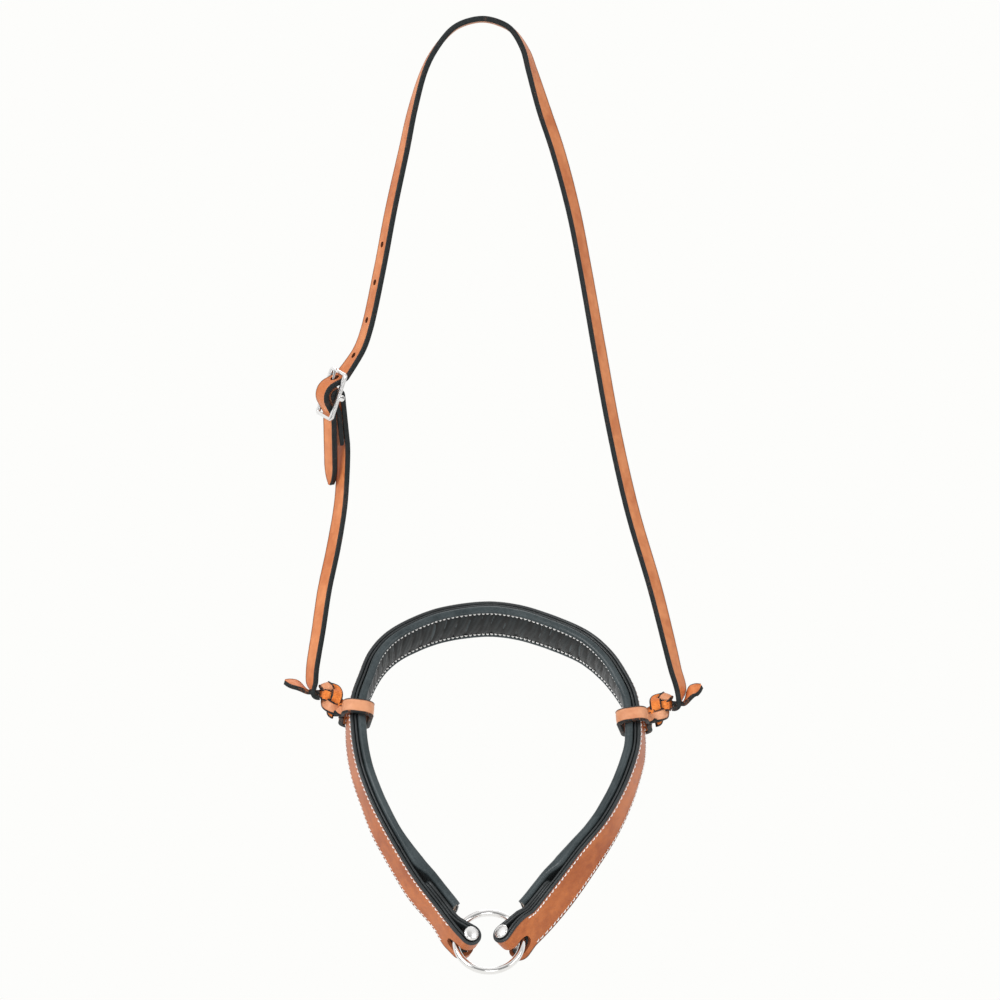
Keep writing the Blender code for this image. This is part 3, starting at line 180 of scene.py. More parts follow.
def grainFinish(name, light, dark, roughness, marginWidth=0.10):
    # smooth vegetable-tanned grain, burnished darker beside the painted edges
    finish = Finish(name, Coat_Weight=0.06, Coat_Roughness=0.32, Specular_IOR_Level=0.34)
    where = finish.place()
    fromMiddle = finish.maths("ABSOLUTE", finish.stripAcross())
    cloud = finish.speckle(where, 42.0, 3.0)
    mottle = finish.speckle(where, 210.0, 5.0, 0.6)
    pores = finish.cells(where, 1900.0)
    creases = finish.speckle(finish.place((1, 1, 0.35)), 620.0, 3.0)
    tone = finish.between(cloud * 0.60 + mottle * 0.40, 0.38, 0.62)
    body = finish.mix(tone, dark, light)
    margin = finish.between(fromMiddle + mottle * 0.05, 1.0 - marginWidth, 1.0)
    burnt = tuple(channel * 0.42 for channel in dark)
    body = finish.mix(margin * 0.75, body, burnt)
    fleck = finish.between(pores, 0.02, 0.20)
    body = finish.mix((1 - fleck) * 0.16, body, burnt)
    finish.colour(body)
    finish.rough(roughness + mottle * 0.14 - margin * 0.10)
    finish.bump(pores * 0.35 + creases * 0.4 + mottle * 0.25, 0.00016, 0.55)
    return finish


def suedeFinish(name, light, dark):
    # the napped flesh side, with fibres along the strap
    finish = Finish(name, 0.92, Specular_IOR_Level=0.2, Sheen_Weight=0.25, Sheen_Roughness=0.5)
    where = finish.place()
    fibres = finish.speckle(where, 1300.0, 6.0, 0.7)
    patch = finish.speckle(where, 170.0, 4.0)
    tone = finish.between(fibres * 0.6 + patch * 0.4, 0.40, 0.60)
    finish.colour(finish.mix(tone, dark, light))
    finish.bump(fibres * 0.7 + patch * 0.3, 0.0003, 0.8)
    return finish


def paintFinish(name, flecks=0.5):
    # dark edge paint over raw fibre, rubbed through to brown in places
    finish = Finish(name, Specular_IOR_Level=0.3, Coat_Weight=0.05, Coat_Roughness=0.35)
    where = finish.place()
    fibre = finish.speckle(where, 900.0, 6.0, 0.7)
    patch = finish.speckle(where, 120.0, 3.0)
    tone = finish.between(fibre, 0.3, 0.7)
    tone = finish.mix(tone, (0.002, 0.0040, 0.0046), (0.015, 0.0215, 0.0235))
    wearAndShade = finish.between(fibre * 0.7 + patch * 0.5, 0.70 - flecks * 0.06, 0.80 - flecks * 0.06)
    finish.colour(finish.mix(wearAndShade * flecks, tone, (0.36, 0.115, 0.040)))
    finish.rough(0.46 + fibre * 0.24)
    finish.bump(fibre * 0.8 + patch * 0.2, 0.0005, 0.8)
    return finish


def padFinish(name):
    # soft drum-dyed hide in dark slate, with painted shade that makes it nearly black over the
    # pleated panel, in its creases and in the grooves beside the rolls
    finish = Finish(name, Specular_IOR_Level=0.22, Coat_Weight=0.20, Coat_Roughness=0.20)
    where = finish.place()
    grain = finish.cells(where, 1250.0)
    cloud = finish.speckle(where, 60.0, 3.0)
    fine = finish.speckle(where, 700.0, 4.0)
    tone = finish.between(cloud * 0.6 + fine * 0.4, 0.35, 0.65)
    # painted shade: the strip's y darkens the panel, its creases and the grooves beside the rolls
    # toward black
    wearAndShade = finish.between(finish.stripAcross(), 0.0, 1.0) * 0.94
    body = finish.mix(tone, (0.022, 0.0320, 0.0355), (0.058, 0.0740, 0.0790))
    finish.colour(finish.mix(wearAndShade, body, (0.0015, 0.002, 0.002)))
    finish.rough(0.38 + fine * 0.18)
    finish.bump(grain * 0.5 + fine * 0.5, 0.00022, 0.6)
    return finish


def liningFinish(name, shine=0.0):
    finish = Finish(name, Specular_IOR_Level=0.35, Coat_Weight=shine, Coat_Roughness=0.3)
    where = finish.place()
    fine = finish.speckle(where, 900.0, 5.0, 0.65)
    cloud = finish.speckle(where, 90.0, 3.0)
    tone = finish.between(fine * 0.5 + cloud * 0.5, 0.35, 0.65)
    finish.colour(finish.mix(tone, (0.006, 0.0085, 0.0095), (0.024, 0.030, 0.032)))
    finish.rough(0.52 + fine * 0.18)
    finish.bump(fine, 0.00015, 0.5)
    return finish


def threadFinish(name):
    # waxed linen thread, laid from two strands
    finish = Finish(name, 0.55, Specular_IOR_Level=0.35)
    twist = finish.node(
        "ShaderNodeTexWave", {"wave_type": "BANDS", "bands_direction": "DIAGONAL"},
        {"Vector": finish.strip((1.0, 0.0012, 1.0)), "Scale": 900.0, "Distortion": 0.6}, 1,
    )
    soil = finish.speckle(finish.place(), 260.0, 2.0)
    body = finish.mix(soil, (0.88, 0.87, 0.85), (0.98, 0.975, 0.965))
    # painted shade: darker in the grooves between the twisted strands
    finish.colour(finish.mix((1 - twist) * 0.10, body, (0.42, 0.38, 0.33)))
    finish.bump(twist, 0.0001, 0.5)
    return finish


def steelFinish(name, roughness, engraved=False):
    # nickel-plated and polished, with faint handling marks
    finish = Finish(name, roughness, 1.0)
    where = finish.place()
    haze = finish.speckle(where, 320.0, 3.0)
    scuff = finish.speckle(finish.place((1, 1, 5)), 1500.0, 4.0, 0.7)
    body = finish.mix(haze, (0.80, 0.79, 0.775), (0.90, 0.895, 0.885))
    height = scuff * 0.04
    if engraved:
        # a wavy stem with round leaves along the middle of the buckle's face
        flat = finish.strip()
        along, across = [
            finish.node("ShaderNodeSeparateXYZ", None, {0: flat}, number) for number in (0, 1)
        ]
        wave = finish.maths("SINE", along * 2100.0)
        stem = finish.maths("ABSOLUTE", across - wave * 0.34)
        vine = 1 - finish.between(stem, 0.06, 0.20)
        leaf = finish.cells(finish.strip((760.0, 1.15, 1.0)), 1.0)
        petals = 1 - finish.between(leaf, 0.22, 0.36)
        onFace = finish.between(finish.maths("ABSOLUTE", across), 0.80, 0.72)
        cut = finish.maths("MAXIMUM", vine, petals) * onFace
        body = finish.mix(cut * 0.24, body, (0.20, 0.195, 0.19))
        height = height - cut * 0.16
    finish.colour(body)
    finish.rough(roughness + haze * 0.10)
    finish.bump(height, 0.00012, 0.6)
    return finish


def foamFinish(name):
    finish = Finish(name, 0.95)
    cell = finish.cells(finish.place(), 1600.0)
    finish.colour(finish.mix(cell, (0.36, 0.33, 0.27), (0.62, 0.58, 0.50)))
    finish.bump(cell, 0.0004, 0.8)
    return finish


finishes = {
    "strapGrain": grainFinish("strapGrain", tan["strapLight"], tan["strapDark"], 0.40),
    "bandGrain": grainFinish("bandGrain", tan["bandLight"], tan["bandDark"], 0.38, 0.05),
    "loopGrain": grainFinish("loopGrain", tan["loopLight"], tan["loopDark"], 0.42),
    "flesh": suedeFinish("fleshSide", tan["fleshLight"], tan["fleshDark"]),
    "suede": suedeFinish("brightSuede", tan["suedeLight"], tan["suedeDark"]),
    "edge": paintFinish("edgePaint", 0.25),
    "knotEdge": paintFinish("wornEdgePaint", 0.9),
    "lining": liningFinish("liningLeather"),
    "bandEdge": liningFinish("rolledEdge", 0.5),
    # the cut walls of slots and holes: raw leather darkened by painted shade of their insides,
    # darkest in the holes
    "slotWall": grainFinish("slotWall", (0.34, 0.095, 0.030), (0.14, 0.036, 0.011), 0.8),
    "holeWall": grainFinish("holeWall", (0.20, 0.050, 0.016), (0.07, 0.018, 0.006), 0.8),
    "pad": padFinish("padLeather"),
    "thread": threadFinish("linenThread"),
    "steel": steelFinish("platedSteel", 0.07),
    "pinSteel": steelFinish("pinSteel", 0.26),
    "buckleSteel": steelFinish("engravedSteel", 0.20, True),
    "foam": foamFinish("padFoam"),
}


# shapes

def blendRow(rows, knots, at):
    # a point of a smooth curve through the middle two of four rows
    for pairs in (((0, 1), (1, 2), (2, 3)), ((0, 2), (1, 3)), ((1, 2),)):
        blended = []
        for row, following, (low, high) in zip(rows, rows[1:], pairs):
            part = (at - knots[low]) / (knots[high] - knots[low])
            blended.append(row * (1 - part) + following * part)
        rows = blended
    return rows[0]


def curveRows(rows, leadIn, leadOut, spacing):
    # points and sides of one smooth curve through the rows, closer together where it bends
    guided = [np.array(row, float) for row in [leadIn, *rows, leadOut]]
    fine = []
    for four in zip(guided, guided[1:], guided[2:], guided[3:]):
        knots = [0.0]
        for here, there in zip(four, four[1:]):
            knots.append(knots[-1] + math.sqrt(np.linalg.norm((there - here)[:3])))
        for step in range(fit["curveSteps"]):
            at = knots[1] + (knots[2] - knots[1]) * step / fit["curveSteps"]
            fine.append(blendRow(four, knots, at))
    fine.append(guided[-2])
    smooth = spacedRows(np.array(fine), spacing)
    return [Vector(row[:3]) for row in smooth], [Vector(row[3:]) for row in smooth]


def spacedRows(fine, spacing):
    runs = np.diff(fine[:, :3], axis=0)
    lengths = np.linalg.norm(runs, axis=1)
    ways = runs / lengths[:, None]
    bends = np.arccos(np.clip(np.sum(ways[1:] * ways[:-1], axis=1), -1.0, 1.0))
    steps = lengths / spacing
    steps[1:] += bends / math.radians(fit["stepDegrees"])
    along = np.concatenate([[0.0], np.cumsum(steps)])
    wanted = np.linspace(0.0, along[-1], max(2, int(round(along[-1])) + 1))
    return np.array([np.interp(wanted, along, column) for column in fine.T]).T


def belt(circles, firstHeading, lastHeading, step):
    # a path round circles in turn, each (centre, radius, turn) with turn 1 where it lies left
    headings = [firstHeading]
    for (start, startRadius, startTurn), (end, endRadius, endTurn) in zip(circles, circles[1:]):
        apart = math.hypot(end[0] - start[0], end[1] - start[1])
        bearing = math.atan2(end[1] - start[1], end[0] - start[0])
        growth = endTurn * endRadius - startTurn * startRadius
        headings.append(bearing - math.asin(growth / apart))
    headings.append(lastHeading)
    points = []
    for (centre, radius, turn), arriving, leaving in zip(circles, headings, headings[1:]):
        while turn * (leaving - arriving) < -step:
            leaving += turn * fullTurn
        count = max(1, math.ceil(abs(leaving - arriving) / step))
        for index in range(count + 1):
            heading = arriving + (leaving - arriving) * index / count
            points.append((
                centre[0] + turn * radius * math.sin(heading),
                centre[1] - turn * radius * math.cos(heading),
            ))
    return points


def roundedRoute(corners, radii, step):
    places = [Vector(corner) for corner in corners]
    points = [places[0]]
    for before, corner, after, radius in zip(places, places[1:], places[2:], radii):
        arriving = (corner - before).normalized()
        leaving = (after - corner).normalized()
        turn = math.atan2(arriving.x * leaving.y - arriving.y * leaving.x, arriving.dot(leaving))
        reach = radius * math.tan(abs(turn) / 2)
        side = Vector((-arriving.y, arriving.x)) * math.copysign(1, turn)
        centre = corner - arriving * reach + side * radius
        count = max(1, math.ceil(abs(turn) / step))
        for index in range(count + 1):
            points.append(centre + Matrix.Rotation(turn * index / count, 2) @ (-side) * radius)
    points.append(places[-1])
    return points


def tangents(points):
    found = []
    for index in range(len(points)):
        before, after = points[max(0, index - 1)], points[min(len(points) - 1, index + 1)]
        found.append((after - before).normalized())
    return found


def distances(points):
    along = [0.0]
    for here, there in zip(points, points[1:]):
        along.append(along[-1] + (there - here).length)
    return along


def locate(along, distance):
    # the station after a distance, and the share of the way to it from the one before
    after = min(max(int(np.searchsorted(along, distance)), 1), len(along) - 1)
    return after, (distance - along[after - 1]) / (along[after] - along[after - 1])


def squared(side, way):
    return (side - way * side.dot(way)).normalized()


def spokes(first, second, count, offset=0.0):
    # evenly round, from the first direction towards the second
    angles = [fullTurn * (index + offset) / count for index in range(count)]
    return [first * math.cos(angle) + second * math.sin(angle) for angle in angles]


def eased(share):
    inside = max(0.0, min(1.0, share))
    return inside * inside * (3 - 2 * inside)


def tipShare(leftOver, length, shares):
    gone = 1 - min(1.0, leftOver / length)
    table = [(0.0, 1.0), *shares]
    for (start, wide), (end, narrow) in zip(table, table[1:]):
        if gone <= end:
            return wide + (narrow - wide) * (gone - start) / (end - start)
    return table[-1][1]


def wobble(place, scale, size):
    return noise.noise(Vector(place) * scale) * size


def showMesh(name, skin, materials, body, nodes, smooth=True):
    mesh = bpy.data.meshes.new(name)
    skin.to_mesh(mesh)
    skin.free()
    for material in materials:
        mesh.materials.append(material.material)
    if smooth:
        mesh.shade_smooth()
        mesh.set_sharp_from_angle(angle=math.radians(55))
    piece = bpy.data.objects.new(name, mesh)
    bpy.context.scene.collection.objects.link(piece)
    if body:
        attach(piece, body)
        if nodes:
            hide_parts(*nodes)
    return piece


def skinRings(rings, closed=False, kinds=None, places=None, capKind=2):
    # rings of world points joined side by side; kinds gives each side's material,
    # places gives (along, across) for each point
    skin = bmesh.new()
    layer = skin.loops.layers.uv.new("strip")
    made = [[skin.verts.new(point) for point in ring] for ring in rings]
    count = len(rings[0])
    last = len(rings) if closed else len(rings) - 1
    for number in range(last):
        following = (number + 1) % len(rings)
        for index in range(count):
            after = (index + 1) % count
            around = ((number, index), (number, after), (following, after), (following, index))
            face = skin.faces.new([made[ring][point] for ring, point in around])
            face.material_index = kinds[index] if kinds else 0
            if places:
                for loop, (ring, point) in zip(face.loops, around):
                    loop[layer].uv = places[ring][point]
    if not closed:
        for cap in (skin.faces.new(made[0][::-1]), skin.faces.new(made[-1])):
            cap.material_index = capKind
    bmesh.ops.recalc_face_normals(skin, faces=skin.faces)
    return skin


grain, flesh, edge, holeWall = 0, 1, 2, 3
strapShape = {
    "faceShares": (-1, -0.90, -0.62, -0.25, 0.25, 0.62, 0.90, 1), "creaseShare": 0.90,
    "crown": 0.00022, "crease": 0.00010, "waver": (260.0, 0.00010), "arcSteps": 4,
}


def stripProfile(halfWidth, thickness, crown=strapShape["crown"], ease=fit["ease"]):
    # (side, up, across, kind) round a strap's section; kind is of the side that follows
    half = thickness / 2
    ease = min(ease, halfWidth * 0.4, thickness * 0.48)
    flat = halfWidth - ease
    shares = strapShape["faceShares"]
    steps = strapShape["arcSteps"]
    arc = [quarterTurn * step / steps for step in range(1, steps + 1)]

    def corner(angles, side, level):
        return [(
            side * (flat + ease * math.sin(angle)),
            level * (half - ease + ease * math.cos(angle)), side, edge,
        ) for angle in angles]

    under = [(flat * share, -half, share, flesh) for share in shares]
    top = []
    for share in shares[::-1]:
        creased = strapShape["crease"] * (abs(share) == strapShape["creaseShare"])
        lift = crown * (1 - share * share) - creased - crown
        top.append((flat * share, half + lift * (abs(share) != 1), share, grain))
    under[-1] = (*under[-1][:3], edge)
    top[-1] = (*top[-1][:3], edge)
    return [
        *under, *corner(arc, 1.0, -1), *corner(arc[::-1], 1.0, 1),
        *top, *corner(arc, -1.0, 1), *corner(arc[::-1], -1.0, -1),
    ]


stripKinds = [item[3] for item in stripProfile(0.006, 0.003)]


def stripSkin(stations):
    # stations are (place, across, outward, halfWidth, thickness, along)
    rings, places = [], []
    for place, across, outward, halfWidth, thickness, along in stations:
        ring, flat = [], []
        for side, rise, share, kind in stripProfile(halfWidth, thickness):
            point = place + across * side + outward * rise
            if kind == edge:
                point += across * (wobble(point, *strapShape["waver"]) * math.copysign(1, side))
            ring.append(point)
            flat.append((along, share))
        rings.append(ring)
        places.append(flat)
    return skinRings(rings, kinds=stripKinds, places=places)


def straps(points, sides, widths, depths, sign=1):
    stations = []
    rows = zip(points, sides, tangents(points), widths, depths, distances(points))
    for point, side, way, halfWidth, depth, here in rows:
        across = squared(side, way)
        stations.append((point, across, across.cross(way) * sign, halfWidth, depth, here))
    return stations


class StripLine:
    # the line that a strap follows, with its frame at any distance along it
    def __init__(self, points, ways, sides):
        self.points, self.ways, self.sides = points, ways, sides
        self.along = distances(points)
        self.length = self.along[-1]

    def frameAt(self, distance):
        inside = min(max(distance, 0.0), self.length)
        after, share = locate(self.along, inside)
        place, way, side = [
            found[after - 1].lerp(found[after], share)
            for found in (self.points, self.ways, self.sides)
        ]
        way.normalize()
        side = squared(side, way)
        return place + way * (distance - inside), way, side, way.cross(side)

    def place(self, flat, side=0.0):
        # flat is (distance along, depth inwards)
        point, _, across, outward = self.frameAt(flat[0])
        return point - outward * flat[1] + across * side


def cutAway(piece, cutters, kind=edge):
    # takes the cutters out of a piece and leaves a plain mesh
    for skin in cutters:
        bmesh.ops.recalc_face_normals(skin, faces=skin.faces)
        for face in skin.faces:
            face.material_index = kind
        mesh = bpy.data.meshes.new("cutter")
        skin.to_mesh(mesh)
        skin.free()
        cutter = bpy.data.objects.new("cutter", mesh)
        bpy.context.scene.collection.objects.link(cutter)
        change = piece.modifiers.new("cut", "BOOLEAN")
        change.operation = "DIFFERENCE"
        change.solver = "EXACT"
        change.object = cutter
        bpy.context.view_layer.update()
        shaped = piece.evaluated_get(bpy.context.evaluated_depsgraph_get())
        result = bpy.data.meshes.new_from_object(shaped)
        piece.modifiers.clear()
        old, piece.data = piece.data, result
        bpy.data.meshes.remove(old)
        bpy.data.objects.remove(cutter)
        bpy.data.meshes.remove(mesh)


def turned(start, axis, profile, sides=24):
    # a solid turned about an axis from (along, radius) pairs
    side = axis.orthogonal().normalized()
    around = spokes(side, axis.cross(side), sides)
    rings = [
        [start + axis * along + spoke * radius for spoke in around] for along, radius in profile
    ]
    places = [[(along, radius)] * sides for along, radius in profile]
    return skinRings(rings, places=places, capKind=0)


def roundBar(start, end, radius):
    length = (end - start).length
    return turned(start, (end - start).normalized(), [(0.0, radius), (length, radius)])


stitch = {"sides": 6, "steps": 5, "ends": 0.62, "flatness": 0.85}


def threadRun(name, follow, runs, thread, body):
    # separate stitches in one mesh; follow(distance, side) gives a place and its normal
    skin = bmesh.new()
    layer = skin.loops.layers.uv.new("strip")
    sides, steps = stitch["sides"], stitch["steps"]
    length = thread["pitch"] * thread["dash"]
    for side, first, last in runs:
        count = max(1, int((last - first) / thread["pitch"]))
        for number in range(count):
            start = first + (last - first) * number / count
            route, normals, radii = [], [], []
            for step in range(steps + 1):
                share = step / steps
                bow = math.sin(math.pi * share)
                slant = (share - 0.5) * thread["slant"]
                place, normal = follow(start + length * share, side + slant)
                route.append(place + normal * (thread["lift"] * bow - thread["sink"] * (1 - bow)))
                normals.append(normal)
                radii.append(thread["radius"] * (stitch["ends"] + (1 - stitch["ends"]) * bow))
            rings = []
            for point, way, normal, radius in zip(route, tangents(route), normals, radii):
                over = way.cross(normal).normalized()
                lift = over.cross(way).normalized()
                around = spokes(over * radius, lift * (radius * stitch["flatness"]), sides)
                rings.append([skin.verts.new(point + spoke) for spoke in around])
            for step, (ring, following) in enumerate(zip(rings, rings[1:])):
                for index in range(sides):
                    after = (index + 1) % sides
                    around = (ring[index], ring[after], following[after], following[index])
                    face = skin.faces.new(around)
                    for loop, (ahead, turn) in zip(face.loops, ((0, 0), (0, 1), (1, 1), (1, 0))):
                        distance = start + (step + ahead) * length / steps
                        loop[layer].uv = (distance, (index + turn) / sides)
            skin.faces.new(rings[0][::-1])
            skin.faces.new(rings[-1])
    bmesh.ops.recalc_face_normals(skin, faces=skin.faces)
    showMesh(name, skin, [finishes["thread"]], body, None)


# where the parts meet

head = {
    "drop": 0.4342, "width": 0.0127, "thickness": 0.0036, "spacing": 0.0030,
    "crownLeft": (
        (0.113, 0.001, 0.00), (0.194, 0.012, 0.02), (0.294, 0.041, 0.10), (0.359, 0.071, 0.15),
        (0.432, 0.130, 0.30), (0.484, 0.189, 0.38), (0.564, 0.277, 0.44), (0.634, 0.366, 0.45),
        (0.714, 0.454, 0.46), (0.760, 0.484, 0.50),
    ),
    "crownRight": (
        (1.045, 0.984, 0.42), (1.017, 0.955, 0.50), (0.992, 0.926, 0.55), (0.912, 0.837, 0.60),
        (0.788, 0.719, 0.60), (0.692, 0.601, 0.58), (0.615, 0.484, 0.58), (0.540, 0.366, 0.56),
        (0.477, 0.277, 0.58), (0.393, 0.189, 0.62), (0.322, 0.130, 0.60), (0.257, 0.071, 0.40),
        (0.222, 0.041, 0.25), (0.153, 0.012, 0.08), (0.085, 0.001, 0.00),
    ),
    "cheekLeft": (
        (0.866, 0.680, 0.52, 0.15), (0.880, 0.719, 0.54, 0.12), (0.921, 0.778, 0.58, 0.07),
        (0.972, 0.837, 0.58, 0.03), (1.008, 0.896, 0.56), (1.046, 0.955, 0.50),
        (1.048, 0.975, 0.42),
    ),
    "holeRadius": 0.00195, "tongueHole": 0.0026, "holePitch": 0.0247, "holeCount": 4,
    "holeReach": 0.0040, "tongueReach": 0.0048, "tail": 0.047, "tipLength": 0.0125,
}
band = {
    "width": 0.0254, "leather": 0.0024, "lining": 0.0016, "centre": 0.0083,
    "halfSpread": 0.0920, "rise": 0.0650, "drop": 0.1620, "spacing": 0.0022, "stations": 260,
    "tiltAtRing": math.radians(12), "tiltAtNose": math.radians(38),
    "shares": (
        (-0.390, -0.907, 20), (-0.554, -0.790, 20), (-0.685, -0.667, 17), (-0.800, -0.546, 15),
        (-0.891, -0.420, 10), (-0.960, -0.296, 9), (-0.997, -0.160, 9), (-0.995, -0.030, 7),
        (-0.935, 0.190, 4), (-0.862, 0.440, 1), (-0.735, 0.660, 0), (-0.467, 0.885, 0),
        (-0.250, 0.970, 0), (-0.040, 1.000, 0), (0.126, 0.970, 0), (0.300, 0.892, 0),
        (0.628, 0.658, 0), (0.788, 0.435, 1), (0.890, 0.210, 4), (0.965, -0.010, 7),
        (0.992, -0.110, 9), (0.990, -0.220, 9), (0.960, -0.297, 10), (0.883, -0.423, 14),
        (0.770, -0.550, 20), (0.613, -0.678, 31), (0.460, -0.800, 37), (0.288, -0.920, 40),
    ),
    "leftHeading": math.radians(-47), "rightHeading": math.radians(-126),
    "leftFlare": math.radians(22), "rightFlare": math.radians(40),
    "endStraight": 0.009, "returnLength": 0.045, "returnBend": 0.020,
    "returnSwing": math.radians(20), "squareTip": ((0.75, 1.0), (0.92, 0.94), (1.0, 0.84)),
    "crown": 0.00012, "easeShare": 0.46, "waver": (240.0, 0.00010),
    "slotWidth": 0.0095, "leftSlotShift": 0.0018, "rightSlotShift": 0.0028,
    "mainSlot": 0.0085, "returnSlot": 0.0180, "slotStep": 0.00015, "slotReach": 0.004,
    "slotEnds": ((10, 0.0045, 0.30), (14, 0.0050, 0.34)),
}
pin = {
    "radius": 0.0025, "headRadius": 0.00475, "headRise": 0.0024, "rim": 0.0007,
    "stand": 0.0061, "screwRadius": 0.0012, "screwLength": 0.0090, "bore": 0.0015, "sides": 40,
    "bevel": 0.0001,
}
ring = {
    "sideShare": -0.047, "radius": 0.0209, "wire": 0.00225, "tilt": math.radians(33),
    "steps": 120, "sides": 24,
}
knot = {
    "reach": 0.0206, "rise": 0.0035, "width": 0.0100, "thickness": 0.0030, "clearance": 0.0019,
    "corner": 0.0064, "throat": 0.0024, "lean": 0.20, "leftHeight": -0.0098, "rightHeight": -0.0140,
    "hookRadius": 0.0032, "hookSteps": 12, "slitTaper": 0.012, "room": 0.0002, "slitReach": 0.001,
    "neckWidth": 0.0072, "tailWidth": 0.0102, "neck": 0.0075, "tailTip": 0.006, "tailRise": 0.16,
    "leftReach": (0.0228, 0.0078), "rightReach": (0.0192, 0.0135), "spacing": 0.0012,
    "leftRoll": math.radians(26), "rightRoll": math.radians(50),
}

# half the pitch of two strands that lie on each other
strand = (knot["thickness"] + fit["gap"]) / 2
knotReach = band["halfSpread"] + knot["reach"]
knotLeft = Vector((band["centre"] - knotReach, 0, knot["rise"] - head["drop"]))
knotRight = Vector((band["centre"] + knotReach, 0, -knot["rise"] - head["drop"]))
swingCentre = (knotLeft + knotRight) / 2
swingAxis = (knotRight - knotLeft).normalized()
ends = (("left", -1, knotLeft), ("right", 1, knotRight))


def headRow(shares, knotPlace):
    side, drop, lean, *behind = shares
    outboard = math.copysign(1, knotPlace.x)
    across = (outboard * lean, math.sqrt(1 - lean * lean), 0.0)
    return (knotPlace.x * side, abs(knotPlace.x) * sum(behind), -head["drop"] * drop, *across)


buckle = {
    "bar": 0.0013, "pitch": 0.0149, "inside": 0.0140, "sideWidth": 0.0036, "sideDepth": 0.0026,
    "corner": 0.0017, "boss": 0.0022, "bossReach": 0.0004, "drop": 0.0018, "rock": 0.0009,
    "slack": 0.0012, "place": (0.929, 0.548), "across": Vector((-0.50, 0.82, 0.27)).normalized(),
    "down": Vector((-0.34, 0.16, -0.93)).normalized(), "entry": math.radians(13),
    "chapeLean": math.radians(-27), "tailLean": math.radians(-22), "chapeReturn": 0.034,
    "chapeSlot": 0.0050, "tongue": 0.0010, "eyeGap": 0.0003, "overhang": 0.0022,
    "leave": math.radians(145), "wrap": math.radians(300), "chapeInner": 0.62,
    "chapeTaper": (0.94, 0.70), "sides": 24, "routeStep": 0.0012, "square": 0.22,
    "barBeyond": 0.0007,
}
weaveAcross = buckle["across"]
weaveDown = squared(buckle["down"], weaveAcross)
weaveOut = weaveAcross.cross(weaveDown).normalized()
if weaveOut.x > 0:
    weaveOut = -weaveOut
weaveOrigin = Vector((knotLeft.x * buckle["place"][0], 0, -head["drop"] * buckle["place"][1]))
topBar = (-buckle["pitch"], 0.0)
lowBar = (buckle["pitch"], 0.0)
middleBar = (0.0, -buckle["drop"])
chapeRadius = buckle["bar"] + fit["gap"] + head["thickness"] / 2
layerPitch = head["thickness"] + fit["gap"]
barWrap = buckle["bar"] + buckle["rock"] + head["thickness"] / 2


def weave(point, side=0.0):
    return weaveOrigin + weaveDown * point[0] + weaveOut * point[1] + weaveAcross * side


def billetRoute(step):
    circles = (
        (topBar, barWrap, 1),
        (middleBar, chapeRadius + layerPitch + buckle["slack"], -1),
        (lowBar, barWrap, 1),
    )
    points = belt(circles, buckle["entry"], buckle["tailLean"], step)
    away = Vector((math.cos(buckle["tailLean"]), math.sin(buckle["tailLean"])))
    end = Vector(points[-1])
    for share in np.linspace(0.1, 1.0, 10):
        points.append(tuple(end + away * (head["tail"] * float(share))))
    return points


def chapeRoute(step):
    wrapped = barWrap + layerPitch
    lean = buckle["chapeLean"]
    outer = belt(((middleBar, chapeRadius, -1), (lowBar, wrapped, 1)), quarterTurn, lean, step)
    inner = belt(
        ((middleBar, chapeRadius, 1), (lowBar, wrapped + layerPitch, 1)), -quarterTurn, lean, step,
    )
    away = Vector((math.cos(lean), math.sin(lean)))
    end = Vector(outer[-1])
    run = buckle["chapeReturn"] - end.dot(away)
    for share in (0.25, 0.5, 0.75, 1.0):
        outer.append(tuple(end + away * (run * share)))
    inner.append(tuple(Vector(inner[-1]) + away * run))
    return outer[::-1] + inner[1:]


def hookPoints(knotPlace, outboard):
    away = swingAxis * outboard
    centre = knotPlace + away * (halfGap + fit["ease"]) + up * (knot["hookRadius"] - strand)
    points = [knotPlace + away * halfGap - up * strand]
    for index in range(knot["hookSteps"] + 1):
        angle = quarterTurn * index / knot["hookSteps"]
        points.append(centre + (away * math.sin(angle) - up * math.cos(angle)) * knot["hookRadius"])
    return points, [back] * len(points)


def hookWidth(fromKnot):
    share = min(1.0, fromKnot / (knot["hookRadius"] * quarterTurn))
    return (knot["width"] + (head["width"] - knot["width"]) * share) / 2


def knotDepth(fromKnot):
    share = min(1.0, fromKnot / knot["slitTaper"])
    return knot["thickness"] + (head["thickness"] - knot["thickness"]) * share


def slitCutter(knotPlace, outboard):
    floor = halfGap - knot["room"]
    roof = halfGap + knot["thickness"] + 2 * knot["room"]
    half = knot["neckWidth"] / 2 + fit["gap"]
    corners = ((-half, floor), (half, floor), (half, roof), (-half, roof))
    rings = []
    for reach in (-knot["slitReach"], knot["neck"] + knot["slitReach"]):
        middle = knotPlace + swingAxis * (outboard * reach)
        rings.append([middle + back * side + up * rise for side, rise in corners])
    return skinRings(rings)


tongueEye = buckle["bar"] + buckle["eyeGap"] + buckle["tongue"]
tongueStart = Vector((math.cos(buckle["leave"]), math.sin(buckle["leave"]))) * tongueEye
tongueStart += Vector(middleBar)
tongueEnd = Vector((-buckle["pitch"], buckle["bar"] + fit["gap"] + buckle["tongue"]))
tongueWay = (weave(tongueEnd) - weave(tongueStart)).normalized()


def tongueCrossing():
    # where the tongue's line meets the billet
    way = (tongueEnd - tongueStart).normalized()
    route = [Vector(point) for point in billetRoute(math.radians(20))]
    found = [
        here.lerp(there, step / 20) for here, there in zip(route, route[1:])
        if -buckle["pitch"] <= there.x and here.x <= 0 for step in range(21)
    ]
    apart = [point - tongueStart for point in found]
    off = [abs(place.x * way.y - place.y * way.x) for place in apart]
    return weave(found[off.index(min(off))])


print("cutting the headpiece")


